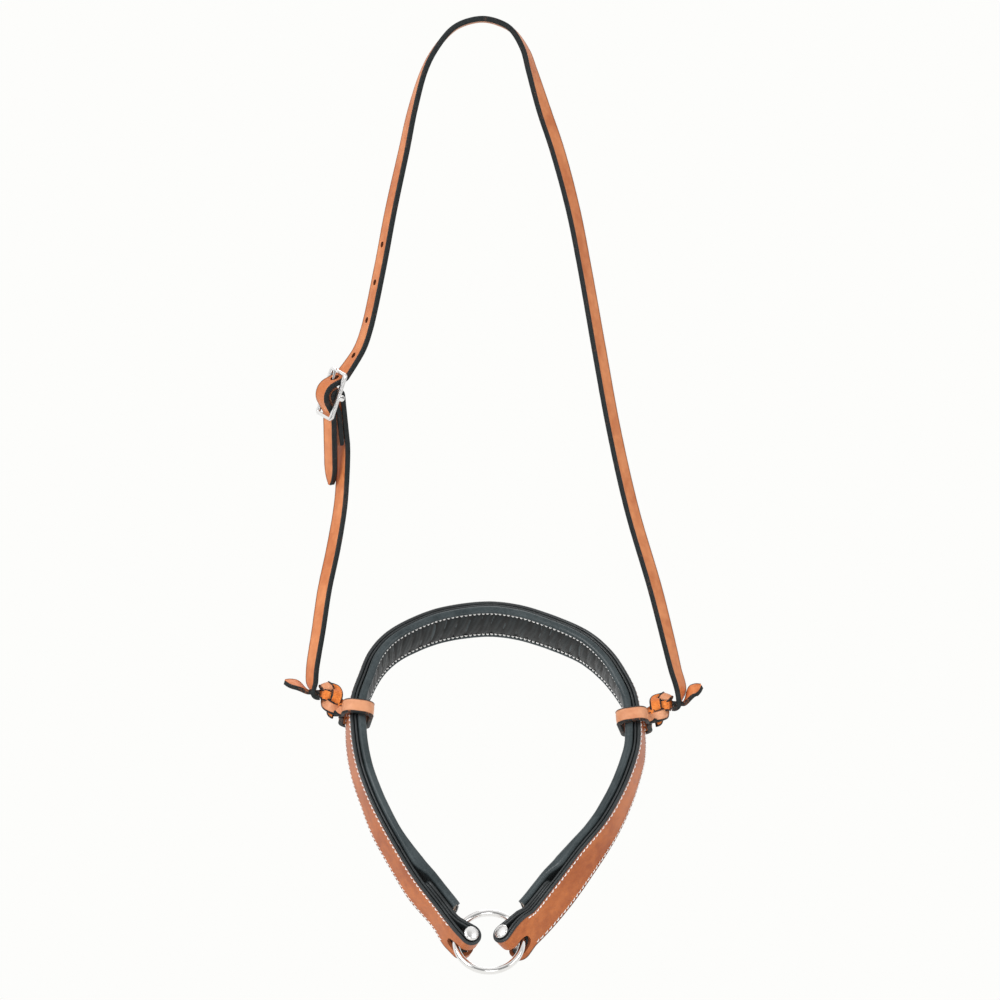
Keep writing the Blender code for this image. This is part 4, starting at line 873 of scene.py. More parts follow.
def crownPath():
    hook, hookSides = hookPoints(knotRight, 1)
    woven = [weave(point) for point in billetRoute(math.radians(10))]
    rows = [(*hook[-1], *hookSides[-1])]
    rows += [headRow(shares, knotRight) for shares in head["crownRight"]]
    rows.append((0.0, 0.0, head["thickness"] / 2, *back))
    rows += [headRow(shares, knotLeft) for shares in head["crownLeft"]]
    rows.append((*woven[0], *weaveAcross))
    leadIn = (*(hook[-1] - up * knot["hookRadius"]), *back)
    points, sides = curveRows(rows, leadIn, (*woven[1], *weaveAcross), head["spacing"])
    sides = hookSides[:-1] + sides + [weaveAcross] * (len(woven) - 1)
    return hook[:-1] + points + woven[1:], sides


def withTip(points, sides, length, count=9):
    # stations crowd towards a strap's tip
    end, before = points[-1], points[-2]
    way = (end - before).normalized()
    kept = [point for point in points if (end - point).length > length * 1.05]
    keptSides = sides[: len(kept)]
    for share in np.linspace(0.0, 1.0, count) ** 0.6:
        kept.append(end - way * (length * (1 - float(share))))
        keptSides.append(sides[-1])
    return kept, keptSides


def ovalTip(leftOver, length, least=0.22):
    # a rounded point: full width until the tip begins, then an oval down to a small flat
    gone = 1 - min(1.0, leftOver / length)
    return max(least, math.sqrt(max(0.0, 1 - gone ** 1.5)))


crownPoints, crownSides = withTip(*crownPath(), head["tipLength"])
crownAlong = distances(crownPoints)
crownWidths = [
    min(hookWidth(here), head["width"] / 2 * ovalTip(crownAlong[-1] - here, head["tipLength"]))
    for here in crownAlong
]
crownDepths = [knotDepth(here) for here in crownAlong]
strapFinishes = [finishes["strapGrain"], finishes["flesh"], finishes["edge"], finishes["holeWall"]]
crownStrap = showMesh(
    "crownStrap", stripSkin(straps(crownPoints, crownSides, crownWidths, crownDepths)),
    strapFinishes, "headstall", ["crown_strap"],
)
crossing = tongueCrossing()
nearest = min(range(len(crownPoints)), key=lambda index: (crownPoints[index] - crossing).length)
reach = tongueWay * head["tongueReach"]
holeCutters = [roundBar(crossing - reach, crossing + reach, head["tongueHole"])]
for number in range(1, head["holeCount"] + 1):
    after, share = locate(crownAlong, crownAlong[nearest] - head["holePitch"] * number)
    place = crownPoints[after - 1].lerp(crownPoints[after], share)
    way = (crownPoints[after] - crownPoints[after - 1]).normalized()
    reach = crownSides[after].cross(way).normalized() * head["holeReach"]
    holeCutters.append(roundBar(place - reach, place + reach, head["holeRadius"]))
cutAway(crownStrap, [slitCutter(knotRight, 1)])
cutAway(crownStrap, holeCutters, holeWall)


def cheekPath():
    woven = [weave(point) for point in chapeRoute(math.radians(10))]
    hook, hookSides = hookPoints(knotLeft, -1)
    rows = [(*woven[-1], *weaveAcross)]
    rows += [headRow(shares, knotLeft) for shares in head["cheekLeft"]]
    rows.append((*hook[-1], *hookSides[-1]))
    leadOut = (*(hook[-1] - up * knot["hookRadius"]), *back)
    points, sides = curveRows(rows, (*woven[-2], *weaveAcross), leadOut, head["spacing"])
    sides = [weaveAcross] * (len(woven) - 1) + sides + hookSides[:-1]
    return woven[:-1] + points + hook[:-1][::-1], sides


cheekPoints, cheekSides = cheekPath()
cheekAlong = distances(cheekPoints)
cheekFromKnot = [cheekAlong[-1] - here for here in cheekAlong]
cheekWidths = [hookWidth(here) for here in cheekFromKnot]
cheekDepths = [knotDepth(here) for here in cheekFromKnot]
cheekWidths[0] *= buckle["chapeTaper"][0]
cheekDepths[0] *= buckle["chapeTaper"][1]
cheekStrap = showMesh(
    "cheekStrap", stripSkin(straps(cheekPoints, cheekSides, cheekWidths, cheekDepths)),
    strapFinishes, "headstall", ["left_cheek_strap"],
)
chapeReach = chapeRadius + head["thickness"]
chapeInner = chapeReach * buckle["chapeInner"]
chapeCorners = (
    (-chapeReach, chapeReach), (chapeInner, chapeReach), (chapeInner, -chapeInner),
    (-chapeReach, -chapeReach),
)
chapeCutter = skinRings([
    [weave(Vector(middleBar) + Vector(corner), side) for corner in chapeCorners]
    for side in (-buckle["chapeSlot"] / 2, buckle["chapeSlot"] / 2)
])
cutAway(cheekStrap, [slitCutter(knotLeft, -1), chapeCutter])

chapeThread = {
    "pitch": 0.0030, "dash": 0.66, "radius": 0.00040, "lift": 0.00028, "sink": 0.00020,
    "slant": 0.0003, "inset": 0.0019, "bed": 0.00005, "first": 0.002, "last": 0.024,
}
cheekLine = StripLine(cheekPoints, tangents(cheekPoints), cheekSides)


def chapeFace(distance, side):
    inward = -cheekLine.frameAt(distance)[3]
    depth = head["thickness"] / 2 - chapeThread["bed"]
    return cheekLine.place((distance, depth), side), inward


inset = head["width"] / 2 - chapeThread["inset"]
threadRun(
    "chapeStitching", chapeFace,
    [(side, chapeThread["first"], chapeThread["last"]) for side in (-inset, inset)],
    chapeThread, "headstall",
)

print("tying the knots")


def knotTail(name, node, knotPlace, outboard, reach, roll):
    away = swingAxis * outboard
    start = knotPlace + away * halfGap + up * strand
    neck = start + away * knot["neck"]
    tip = knotPlace + away * reach[0] + up * reach[1]
    middle = (neck + tip) / 2 + up * (reach[1] * knot["tailRise"])
    rolled = (0.0, math.cos(roll), math.sin(roll))
    rows = [(*neck, *back), (*middle, *rolled), (*tip, *rolled)]
    leadOut = (*(tip + (tip - middle)), *rolled)
    points, sides = curveRows(rows, (*start, *back), leadOut, knot["spacing"])
    points = [start, start.lerp(neck, 0.4), start.lerp(neck, 0.8), *points]
    points, sides = withTip(points, [back] * 3 + sides, knot["tailTip"])
    along = distances(points)
    widths = []
    for here in along:
        share = eased((here - knot["neck"]) / knot["neck"])
        full = knot["neckWidth"] + (knot["tailWidth"] - knot["neckWidth"]) * share
        widths.append(full / 2 * ovalTip(along[-1] - here, knot["tailTip"], 0.3))
    depths = [knot["thickness"]] * len(points)
    showMesh(
        name, stripSkin(straps(points, sides, widths, depths, -outboard)), tailFinishes,
        "headstall", [node],
    )


tailFinishes = [finishes["strapGrain"], finishes["suede"], finishes["knotEdge"]]
for side, outboard, knotPlace in ends:
    reach, roll = knot[f"{side}Reach"], knot[f"{side}Roll"]
    knotTail(f"{side}Tail", f"{side}_tail", knotPlace, outboard, reach, roll)


# the line that the noseband follows

def tiltAt(height):
    share = (height + band["drop"]) / (band["rise"] + band["drop"])
    return band["tiltAtRing"] + (band["tiltAtNose"] - band["tiltAtRing"]) * share


def sheetPoint(side, height):
    bend = (band["tiltAtNose"] - band["tiltAtRing"]) / (band["rise"] + band["drop"])
    here, level = tiltAt(height), tiltAt(0.0)
    behind = (math.cos(level) - math.cos(here)) / bend
    above = (math.sin(here) - math.sin(level)) / bend
    return swingCentre + Vector((side, behind, above))


def sheetAxes(height):
    tilt = tiltAt(height)
    return Vector((0, math.sin(tilt), math.cos(tilt))), Vector((0, math.cos(tilt), -math.sin(tilt)))


foldRadius = pin["radius"] + fit["gap"] + band["lining"] + halfGap
returnPitch = 2 * (band["lining"] + halfGap) + fit["gap"]
ringSide = ring["sideShare"] * band["halfSpread"]


def endFrame(name, outboard):
    heading, flare = band[f"{name}Heading"], band[f"{name}Flare"]
    above, behind = sheetAxes(-band["drop"])
    along = right * math.cos(heading) + above * math.sin(heading)
    levelOut = along.cross(behind) * outboard
    across = behind * math.cos(flare) + levelOut * math.sin(flare)
    return along, across, along.cross(across) * outboard


def pinPlace(outboard):
    return sheetPoint(ringSide + outboard * (ring["radius"] - pin["stand"]), -band["drop"])


def bandEnd(name, outboard):
    # the band's last rows: a lead beyond the fold, its foot, and the end of the straight stretch
    along, across, outward = endFrame(name, outboard)
    foot = pinPlace(outboard) + outward * foldRadius
    places = [foot + along * (band["endStraight"] * share) for share in (1, 0, -1)]
    return along, [(*place, *across) for place in places]


def bandRow(side, height, flare):
    scale = band["rise"] if height > 0 else band["drop"]
    above, behind = sheetAxes(height * scale)
    place = sheetPoint(side * band["halfSpread"], height * scale)
    outward = (Vector((side * band["drop"], 0, 0)) + above * (height * band["drop"])).normalized()
    return (*place, *(behind * math.cos(flare) + outward * math.sin(flare)))


def bandLine():
    leftAlong, leftRows = bandEnd("left", -1)
    rightAlong, rightRows = bandEnd("right", 1)
    rows = [bandRow(side, height, math.radians(flare)) for side, height, flare in band["shares"]]
    rows = leftRows[1:] + rows + rightRows[:0:-1]
    points, sides = curveRows(rows, leftRows[0], rightRows[0], band["spacing"])
    ways = tangents(points)
    ways[0], ways[-1] = -leftAlong, rightAlong
    return StripLine(points, ways, [squared(side, way) for side, way in zip(sides, ways)])


print("shaping the noseband")
line = bandLine()


def foldRoute(step):
    converge = (
        (returnPitch + band["returnBend"] - foldRadius) * math.cos(band["returnSwing"])
        - (band["returnBend"] + foldRadius)
    ) / math.sin(band["returnSwing"])
    circles = (
        ((0.0, foldRadius), foldRadius, 1),
        ((converge, returnPitch + band["returnBend"]), band["returnBend"], -1),
    )
    points = belt(circles, 0.0, math.pi, step)
    last = points[-1]
    run = band["returnLength"] + last[0]
    for share in (0.17, 0.34, 0.5, 0.67, 0.78, 0.88, 0.95, 1.0):
        points.append((last[0] - run * share, last[1]))
    return points


def bandRoute():
    fold = foldRoute(math.radians(10))
    left = [(-beyond, depth) for beyond, depth in reversed(fold)]
    middle = [(line.length * index / band["stations"], 0.0) for index in range(1, band["stations"])]
    rightEnd = [(line.length + beyond, depth) for beyond, depth in fold]
    return left + middle + rightEnd


def flatNormals(route):
    normals = []
    for index in range(len(route)):
        before = Vector(route[max(0, index - 1)])
        here = Vector(route[index])
        after = Vector(route[min(len(route) - 1, index + 1)])
        ways = [way.normalized() for way in (here - before, after - here) if way.length > 0]
        rights = [Vector((way.y, -way.x)) for way in ways]
        mean = sum(rights, Vector((0, 0))).normalized()
        normals.append(mean / max(0.5, mean.dot(rights[0])))
    return normals


def foldedStrip(low, high, halfWidth):
    # a strip between two offsets right of the route; its outer face is grain
    route = bandRoute()
    thickness = high - low
    rings, places = [], []
    alongs = distances([Vector(point) for point in route])
    for point, normal, here in zip(route, flatNormals(route), alongs):
        fromEnd = min(here, alongs[-1] - here)
        half = halfWidth * tipShare(fromEnd, halfWidth, band["squareTip"])
        profile = stripProfile(half, thickness, band["crown"], thickness * band["easeShare"])
        across = line.frameAt(point[0])[2]
        ringPoints, flat = [], []
        for side, rise, share, kind in profile:
            place = line.place(Vector(point) + normal * ((low + high) / 2 + rise), side)
            if kind == edge:
                place += across * (wobble(place, *band["waver"]) * math.copysign(1, side))
            ringPoints.append(place)
            flat.append((here, share))
        rings.append(ringPoints)
        places.append(flat)
    return skinRings(rings, kinds=stripKinds, places=places)


def slotCutter(startOf, sign, shift):
    # a teardrop slot up the band, round the fold and back
    between = band["lining"] + fit["gap"]
    far = 2 * foldRadius + band["leather"] + band["slotReach"]
    full = band["slotWidth"] / 2
    spans = (
        (-band["returnSlot"], -band["mainSlot"] - band["slotStep"], between),
        (-band["mainSlot"], 0.0, -band["slotReach"]),
    )
    stations = []
    for (first, last, low), (count, run, least) in zip(spans, band["slotEnds"]):
        for beyond in np.linspace(first, last, count):
            wide = least + (1 - least) * math.sqrt(max(0.0, (beyond - first) / run))
            stations.append((float(beyond), low, full * min(1.0, wide)))
    stations.append((foldRadius + band["leather"] + band["slotReach"], -band["slotReach"], full))
    rings = []
    for beyond, low, half in stations:
        distance = startOf + sign * beyond
        corners = ((low, -half), (low, half), (far, half), (far, -half))
        rings.append([line.place((distance, depth), shift + side) for depth, side in corners])
    return skinRings(rings)


bandLayers = (
    (
        "leather", "band_leather", halfGap, band["leather"],
        ("bandGrain", "lining", "bandEdge", "slotWall"),
    ),
    (
        "lining", "lining_leather", -halfGap - band["lining"], band["lining"],
        ("lining", "lining", "bandEdge", "bandEdge"),
    ),
)
for name, slot, low, thickness, faces in bandLayers:
    strip = showMesh(
        f"band{name.capitalize()}", foldedStrip(low, low + thickness, band["width"] / 2),
        [finishes[face] for face in faces], "noseband", [f"noseband_{name}"],
    )
    cutters = (
        slotCutter(0.0, -1, band["leftSlotShift"]),
        slotCutter(line.length, 1, band["rightSlotShift"]),
    )
    cutAway(strip, cutters, holeWall)

print("stitching the noseband")
bandThread = {
    "pitch": 0.0032, "dash": 0.72, "radius": 0.00044, "lift": 0.00030, "sink": 0.00024,
    "slant": 0.00055, "inset": 0.0024, "start": 0.0125, "bed": 0.00008,
}


def bandFace(distance, side):
    depth = bandThread["bed"] - halfGap - band["leather"]
    return line.place((distance, depth), side), line.frameAt(distance)[3]


inset = band["width"] / 2 - bandThread["inset"]
threadRun(
    "bandStitching", bandFace,
    [(side, bandThread["start"], line.length - bandThread["start"]) for side in (-inset, inset)],
    bandThread, "noseband",
)

print("padding the nose")
pad = {
    "halfWidth": 0.0145, "thickness": 0.0060, "cover": 0.0010, "backing": 0.0010, "gap": 0.0005,
    "start": 0.0210, "settle": 0.016, "lip": 0.80, "spacing": 0.0018,
    "outline": (
        (0.80, 0.00), (0.93, 0.03), (0.985, 0.16), (1.00, 0.34), (0.985, 0.56), (0.955, 0.74),
        (0.91, 0.85), (0.865, 0.88), (0.82, 0.83), (0.785, 0.745), (0.755, 0.73), (0.72, 0.765),
        (0.62, 0.85), (0.48, 0.92), (0.32, 0.965), (0.16, 0.99),
    ),
    "stitchSide": 0.755, "stitchDepth": 0.735, "puckerWidth": 0.0012, "puckerDepth": 0.00010,
    "fineSpacing": 0.0008, "swell": 0.042,
    "shadeTo": 0.81, "grooveFrom": 0.74, "grooveShade": 0.85, "panelShade": 0.62,
    "creaseShade": 2.0, "waver": (120, 40, 7.0, 0.00012), "foamEase": 0.0007,
}
padInset = pad["halfWidth"] * pad["stitchSide"]


def fromBandEnd(distance):
    return min(distance, line.length - distance)


def padDepth(distance):
    onLining = band["lining"] + halfGap + pad["gap"]
    onReturn = returnPitch + halfGap + band["leather"] + pad["gap"]
    share = eased((fromBandEnd(distance) - band["returnLength"]) / pad["settle"])
    return onReturn + (onLining - onReturn) * share


def padSwell(distance):
    # how much fuller the pad's face is where it slopes down from the returned end
    share = 1 - eased((fromBandEnd(distance) - band["returnLength"]) / pad["swell"])
    middle = padDepth(line.length / 2)
    lifted = middle + (padDepth(band["returnLength"]) - middle) * share
    return 1 + max(0.0, lifted - padDepth(distance)) / pad["thickness"]


def padRoute():
    # stations crowd where the panel is pleated
    route = []
    distance = pad["start"]
    while distance < line.length - pad["start"] - pad["fineSpacing"]:
        route.append((distance, padDepth(distance)))
        distance += pad["fineSpacing"] if pleated(distance) > 0 else pad["spacing"]
    return route + [(line.length - pad["start"], padDepth(line.length - pad["start"]))]


def padHalf(insetBy=0.0):
    points = [
        Vector((side * pad["halfWidth"], depth * pad["thickness"]))
        for side, depth in pad["outline"]
    ]
    points.append(Vector((0.0, pad["thickness"])))
    beyond = Vector((-points[-2].x, points[-2].y))
    moved = []
    for index, point in enumerate(points):
        before = points[max(0, index - 1)]
        after = [*points, beyond][index + 1]
        way = (after - before).normalized()
        moved.append(point + Vector((-way.y, way.x)) * insetBy)
    moved[0] = Vector((points[0].x, insetBy))
    return moved


def mirrored(half):
    return list(half) + [Vector((-point.x, point.y)) for point in reversed(half[:-1])]


pleats = {
    "from": 0.27, "run": 0.06, "depth": 0.0022, "pitch": 0.0082, "slant": 0.12, "sharpness": 0.42,
    "weakest": 0.35, "sways": ((70, 60, 0.0, 0.0022), (14, 20, 3.1, 0.0040)),
    "puff": (130, 160, 2.0, 0.00022), "small": 0.30, "smallRate": 2.63, "smallSlant": 70,
}


def pleated(distance):
    # the stretch over the nose where the panel is gathered
    return eased((fromBandEnd(distance) / line.length - pleats["from"]) / pleats["run"])


def ripple(distance, side, along, across, seed, size):
    return wobble((distance * along, side * across, seed), 1.0, size)


def pleat(distance, side):
    # creases across the panel between the stitch lines, deepest where the pad bends most
    if abs(side) > padInset:
        return 0.0
    share = max(0.0, 1 - (side / padInset) ** 2)
    sway = sum(ripple(distance, side, *each) for each in pleats["sways"])
    place = (distance + sway + side * pleats["slant"]) / pleats["pitch"]
    chance = abs(noise.noise(Vector((round(place) * 3.7, side * 35, 5.0)))) * 2.4
    strength = pleats["weakest"] + (1 - pleats["weakest"]) * min(1.0, chance)
    crease = 1 - abs(math.sin(math.pi * place)) ** pleats["sharpness"]
    fine = math.sin(math.pi * (place * pleats["smallRate"] + side * pleats["smallSlant"]))
    small = (1 - abs(fine) ** 0.5) * pleats["small"]
    gathered = pleated(distance) * pleats["depth"] * share ** 0.4
    return (crease * strength + small) * gathered + ripple(distance, side, *pleats["puff"]) * share


def padPaintedShade(distance, side):
    # painted shade: how dark the colour is painted where shade falls on the panel, its creases and
    # the groove beside each roll
    share = abs(side) / pad["halfWidth"]
    if share > pad["shadeTo"]:
        return 0.0
    groove = pad["grooveShade"] if share > pad["grooveFrom"] else 0.0
    panel = pad["panelShade"] + pad["creaseShade"] * pleat(distance, side) / pleats["depth"]
    return max(groove, min(1.0, panel) * pleated(distance))


def pucker(distance, side):
    # the dimple of each stitch in the seam, and the small gathers beside it
    near = math.exp(-((abs(side) - padInset) / pad["puckerWidth"]) ** 2)
    return near * pad["puckerDepth"] * (1 + math.sin(distance / padThread["pitch"] * fullTurn))


padThread = {
    "pitch": 0.0030, "dash": 0.60, "radius": 0.00054, "lift": 0.00042, "sink": 0.00014,
    "slant": 0.0004, "bed": 0.0001, "endGap": 0.004,
}


def padPiece(name, node, finish, outline, dressed=0):
    # the first points of the outline, as many as are dressed, carry the pleats and the rolls
    route = padRoute()
    rings, places = [], []
    for (distance, depth), normal in zip(route, flatNormals(route)):
        ringPoints, flat = [], []
        for number, point in enumerate(outline):
            fallen, shade = point.y, 0.0
            if number < dressed:
                fallen *= padSwell(distance)
                shade = padPaintedShade(distance, point.x)
                fallen -= pleat(distance, point.x) + pucker(distance, point.x)
                if abs(point.x) > padInset:
                    fallen += ripple(distance, point.x, *pad["waver"])
            ringPoints.append(line.place(Vector((distance, depth)) - normal * fallen, point.x))
            flat.append((distance, shade))
        rings.append(ringPoints)
        places.append(flat)
    skin = skinRings(rings, places=places, capKind=0)
    return showMesh(name, skin, [finishes[finish]], "noseband", [node])


coverOuter = mirrored(padHalf())
coverOutline = coverOuter + mirrored(padHalf(pad["cover"]))[::-1]
padCover = padPiece("padCover", "pad_cover", "pad", coverOutline, len(coverOuter))
padLip = pad["lip"] * pad["halfWidth"] - fit["gap"]
backingOutline = [Vector((side, 0.0)) for side in (-padLip, 0.0, padLip)]
backingOutline += [Vector((side, pad["backing"])) for side in (padLip, 0.0, -padLip)]
padPiece("padBacking", "pad_backing", "lining", backingOutline)
foamFloor = pad["backing"] + fit["gap"]
foamHalf = [Vector((padLip, foamFloor))] + [
    point - Vector((0, pad["foamEase"])) for point in padHalf(pad["cover"] + fit["gap"])
    if point.y > foamFloor + fit["gap"] + pad["foamEase"]
]
padFoam = padPiece("padFoam", "pad_foam", "foam", mirrored(foamHalf))


def padFace(distance, side):
    depth = padDepth(distance) + pad["thickness"] * pad["stitchDepth"] * padSwell(distance)
    place = line.place((distance, depth - padThread["bed"]), side)
    return place, -line.frameAt(distance)[3]


first = pad["start"] + padThread["endGap"] / 2
last = line.length - pad["start"] - padThread["endGap"]
threadRun(
    "padStitching", padFace, [(side, first, last) for side in (-padInset, padInset)],
    padThread, "noseband",
)

print("plaiting the side loops")


def bezier(start, startHandle, endHandle, end, count):
    points = []
    for index in range(count + 1):
        at = index / count
        rest = 1 - at
        points.append(
            start * rest ** 3 + startHandle * (3 * rest * rest * at)
            + endHandle * (3 * rest * at * at) + end * at ** 3
        )
    return points


plait = {
    "steps": 64, "startLead": 0.22, "endLead": 0.18, "slope": math.radians(34), "inset": 0.0046,
    "cycles": 0.6, "lift": 0.0034, "width": 0.0076, "thickness": 0.0030, "spread": 0.0045,
    "depth": 0.0022, "tilt": 0.55, "start": 0.62, "gather": 0.20, "merge": 0.88, "joins": 0.72,
    "coreEnd": 0.86, "foldSteps": 16, "foldLead": 0.0042, "neckSteps": 12, "neckLead": 0.20,
    "spreadRun": 0.011,
}


def carried(ways, start):
    # a direction carried along a path without spin
    found = [squared(start, ways[0])]
    for way in ways[1:]:
        found.append(squared(found[-1], way))
    return found


def plaitStations(knotPlace, outboard, end, outward, across):
    # places along the plait's middle, each with its heading, front and upper side
    inboard = swingAxis * -outboard
    start = knotPlace + inboard * plait["inset"] + up * plait["lift"]
    first = inboard * math.cos(plait["slope"]) - up * math.sin(plait["slope"])
    span = (end - start).length
    middle = bezier(
        start, start + first * (span * plait["startLead"]),
        end + outward * (span * plait["endLead"]), end, plait["steps"],
    )
    ways = tangents(middle)
    ways[0], ways[-1] = first, -outward
    fronts = carried(ways, -back)
    spin = math.atan2(ways[-1].dot(fronts[-1].cross(-across)), fronts[-1].dot(-across))
    stations = []
    for index, (point, heading, front) in enumerate(zip(middle, ways, fronts)):
        turnedFront = Matrix.Rotation(spin * index / plait["steps"], 3, heading) @ front
        stations.append((point, heading, turnedFront, turnedFront.cross(heading) * -outboard))
    return stations


def plaitStrand(stations, phase, layer):
    # one of three strands: over one neighbour, then under the other
    rows = []
    for index, (point, _, front, upper) in enumerate(stations):
        share = index / plait["steps"]
        turn = fullTurn * (plait["cycles"] * min(1.0, share / plait["merge"]) + phase)
        joined = eased((share - plait["joins"]) / (1 - plait["joins"]))
        full = plait["start"] + (1 - plait["start"]) * eased(share / plait["gather"])
        swing = upper * (plait["spread"] * full * math.cos(turn))
        reach = front * (plait["depth"] * math.sin(2 * turn))
        place = point + (swing + reach) * (1 - joined) + front * (strand * layer * joined)
        lean = upper * (plait["tilt"] * math.cos(turn) * (1 - joined))
        facing = (front + lean).normalized() * layer
        rows.append((place, facing, plait["width"] / 2, plait["thickness"]))
    return rows


def plaitFold(stations, core, front):
    # the strap's turn over the plait's end, from the core to the front strand
    heading, upper = stations[0][1], stations[0][3]
    tip = (upper * 0.7 - heading).normalized()
    lead = heading * plait["foldLead"]
    path = bezier(
        core[0][0], core[0][0] - lead, front[0][0] - lead, front[0][0], plait["foldSteps"],
    )
    rows = []
    for index, point in enumerate(path[1:-1], 1):
        share = index / plait["foldSteps"] * 2
        if share < 1:
            facing = core[0][1].lerp(tip, eased(share))
        else:
            facing = tip.lerp(front[0][1], eased(share - 1))
        rows.append((point, facing.normalized(), plait["width"] / 2, plait["thickness"]))
    return rows


def plaitNeck(knotPlace, outboard, stations, row):
    # the back strand's first stretch, from the knot's face where it stands on edge
    inboard = swingAxis * -outboard
    start = knotPlace + inboard * halfGap - up * strand
    place, facing, halfWidth, thickness = row
    lead = (place - start).length * plait["neckLead"]
    path = bezier(
        start, start + inboard * lead, place - stations[0][1] * lead, place, plait["neckSteps"],
    )
    rows = []
    for index, point in enumerate(path[:-1]):
        share = index / plait["neckSteps"]
        rows.append((
            point, (-up).lerp(facing, share).normalized(), halfWidth,
            knot["thickness"] + (thickness - knot["thickness"]) * share,
        ))
    return rows[::-1]


def distanceAtHeight(height, outboard):
    # the distance along the band at which it passes a height on one side
    target = sheetPoint(0.0, height).z
    found = [
        index for index, point in enumerate(line.points)
        if (point.x - swingCentre.x) * outboard > band["halfSpread"] / 2
    ]
    return line.along[min(found, key=lambda index: abs(line.points[index].z - target))]


def sideLoop(name, node, knotPlace, outboard, height):
    distance = distanceAtHeight(height, outboard)
    centre, way, across, outward = line.frameAt(distance)
    reach = halfGap + knot["clearance"] + knot["thickness"] / 2
    outer = band["leather"] + reach
    inner = padDepth(distance) + pad["thickness"] + reach - halfGap
    side = pad["halfWidth"] + reach - halfGap
    throat = outer + knot["throat"]
    stations = plaitStations(knotPlace, outboard, centre + outward * throat, outward, across)
    front = plaitStrand(stations, 1 / 6, 1)
    core = plaitStrand(stations, -1 / 6, -1)[: round(plait["steps"] * plait["coreEnd"])]
    rear = plaitStrand(stations, 1 / 2, -1)
    corners = (
        (throat, -strand), (outer, -strand), (outer, -side), (-inner, -side),
        (-inner, side), (outer, side), (outer, strand), (throat, strand),
    )
    bends = (knot["throat"], *[knot["corner"]] * 4, knot["throat"])
    flat = roundedRoute(corners, bends, math.radians(7))
    upward = way * math.copysign(knot["lean"], way.z)
    roundBand = []
    for index, point in enumerate(flat):
        before, after = flat[max(0, index - 1)], flat[min(len(flat) - 1, index + 1)]
        heading = (after - before).normalized()
        share = 1.0
        if point.x > outer - knot["corner"]:
            share = eased((abs(point.y) - knot["throat"]) / plait["spreadRun"])
        wide = plait["width"] + (knot["width"] - plait["width"]) * share
        thick = plait["thickness"] + (knot["thickness"] - plait["thickness"]) * share
        roundBand.append((
            centre + outward * point.x + (across + upward) * point.y,
            across * heading.x - outward * heading.y, wide / 2, thick,
        ))
    rows = core[::-1] + plaitFold(stations, core, front) + front + roundBand[1:-1] + rear[::-1]
    rows += plaitNeck(knotPlace, outboard, stations, rear[0])
    places = [row[0] for row in rows]
    found = []
    for row, heading, here in zip(rows, tangents(places), distances(places)):
        place, facing, halfWidth, thickness = row
        over = heading.cross(facing).normalized()
        found.append((place, over, over.cross(heading).normalized(), halfWidth, thickness, here))
    faces = [finishes["loopGrain"], finishes["suede"], finishes["knotEdge"]]
    showMesh(name, stripSkin(found), faces, "side_loops", [node])


for side, outboard, knotPlace in ends:
    sideLoop(f"{side}SideLoop", f"{side}_side_loop", knotPlace, outboard, knot[f"{side}Height"])

print("casting the buckle, ring and pins")


def squarish(value, power):
    return math.copysign(abs(value) ** power, value)


def buckleFrame():
    halfInside = buckle["inside"] / 2
    sideAt = halfInside + buckle["sideWidth"] / 2
    pitch, sides = buckle["pitch"], buckle["sides"]
    corners = (
        (0.0, sideAt), (pitch, sideAt), (pitch, -sideAt), (-pitch, -sideAt), (-pitch, sideAt),
        (0.0, sideAt),
    )
    route = roundedRoute(corners, [buckle["corner"]] * 4, math.radians(9))[:-1]
    finer = []
    for index, point in enumerate(route):
        after = route[(index + 1) % len(route)]
        count = max(1, round((after - point).length / buckle["routeStep"]))
        finer += [point.lerp(after, step / count) for step in range(count)]
    rings, places = [], []
    for index, point in enumerate(finer):
        way = (finer[(index + 1) % len(finer)] - finer[index - 1]).normalized()
        sideways = Vector((-way.y, way.x))
        alongSide = abs(way.x)
        square = 1 - buckle["square"] * alongSide
        wide, deep = [
            buckle["bar"] + (buckle[size] / 2 - buckle["bar"]) * alongSide
            for size in ("sideWidth", "sideDepth")
        ]
        ringPoints, flat = [], []
        for step in range(sides):
            angle = fullTurn * (step + 0.5) / sides
            spread = squarish(math.cos(angle), square)
            place = point + sideways * (wide * spread)
            ringPoints.append(weave((place.x, deep * squarish(math.sin(angle), square)), place.y))
            flat.append((point.x, spread * 0.95 if alongSide > 0.9 else 0.99))
        rings.append(ringPoints)
        places.append(flat)
    showMesh(
        "buckleFrame", skinRings(rings, True, None, places), [finishes["buckleSteel"]],
        "buckle", ["buckle_frame"],
    )
    barEnd = sideAt + buckle["barBeyond"]
    bar = roundBar(weave(middleBar, -barEnd), weave(middleBar, barEnd), buckle["bar"])
    showMesh("buckleMiddleBar", bar, [finishes["steel"]], "buckle", None)
    length = halfInside + buckle["sideWidth"] + buckle["bossReach"] - sideAt
    radius = buckle["boss"]
    profile = [(0.0, radius), (length * 0.7, radius)]
    for step in range(1, 6):
        angle = quarterTurn * step / 6
        profile.append((
            length * (0.7 + 0.3 * math.sin(angle)), radius * (0.6 + 0.4 * math.cos(angle)),
        ))
    for name, way in (("nearBoss", -1), ("farBoss", 1)):
        boss = turned(weave(middleBar, sideAt * way), weaveAcross * way, profile)
        showMesh(name, boss, [finishes["steel"]], "buckle", None)


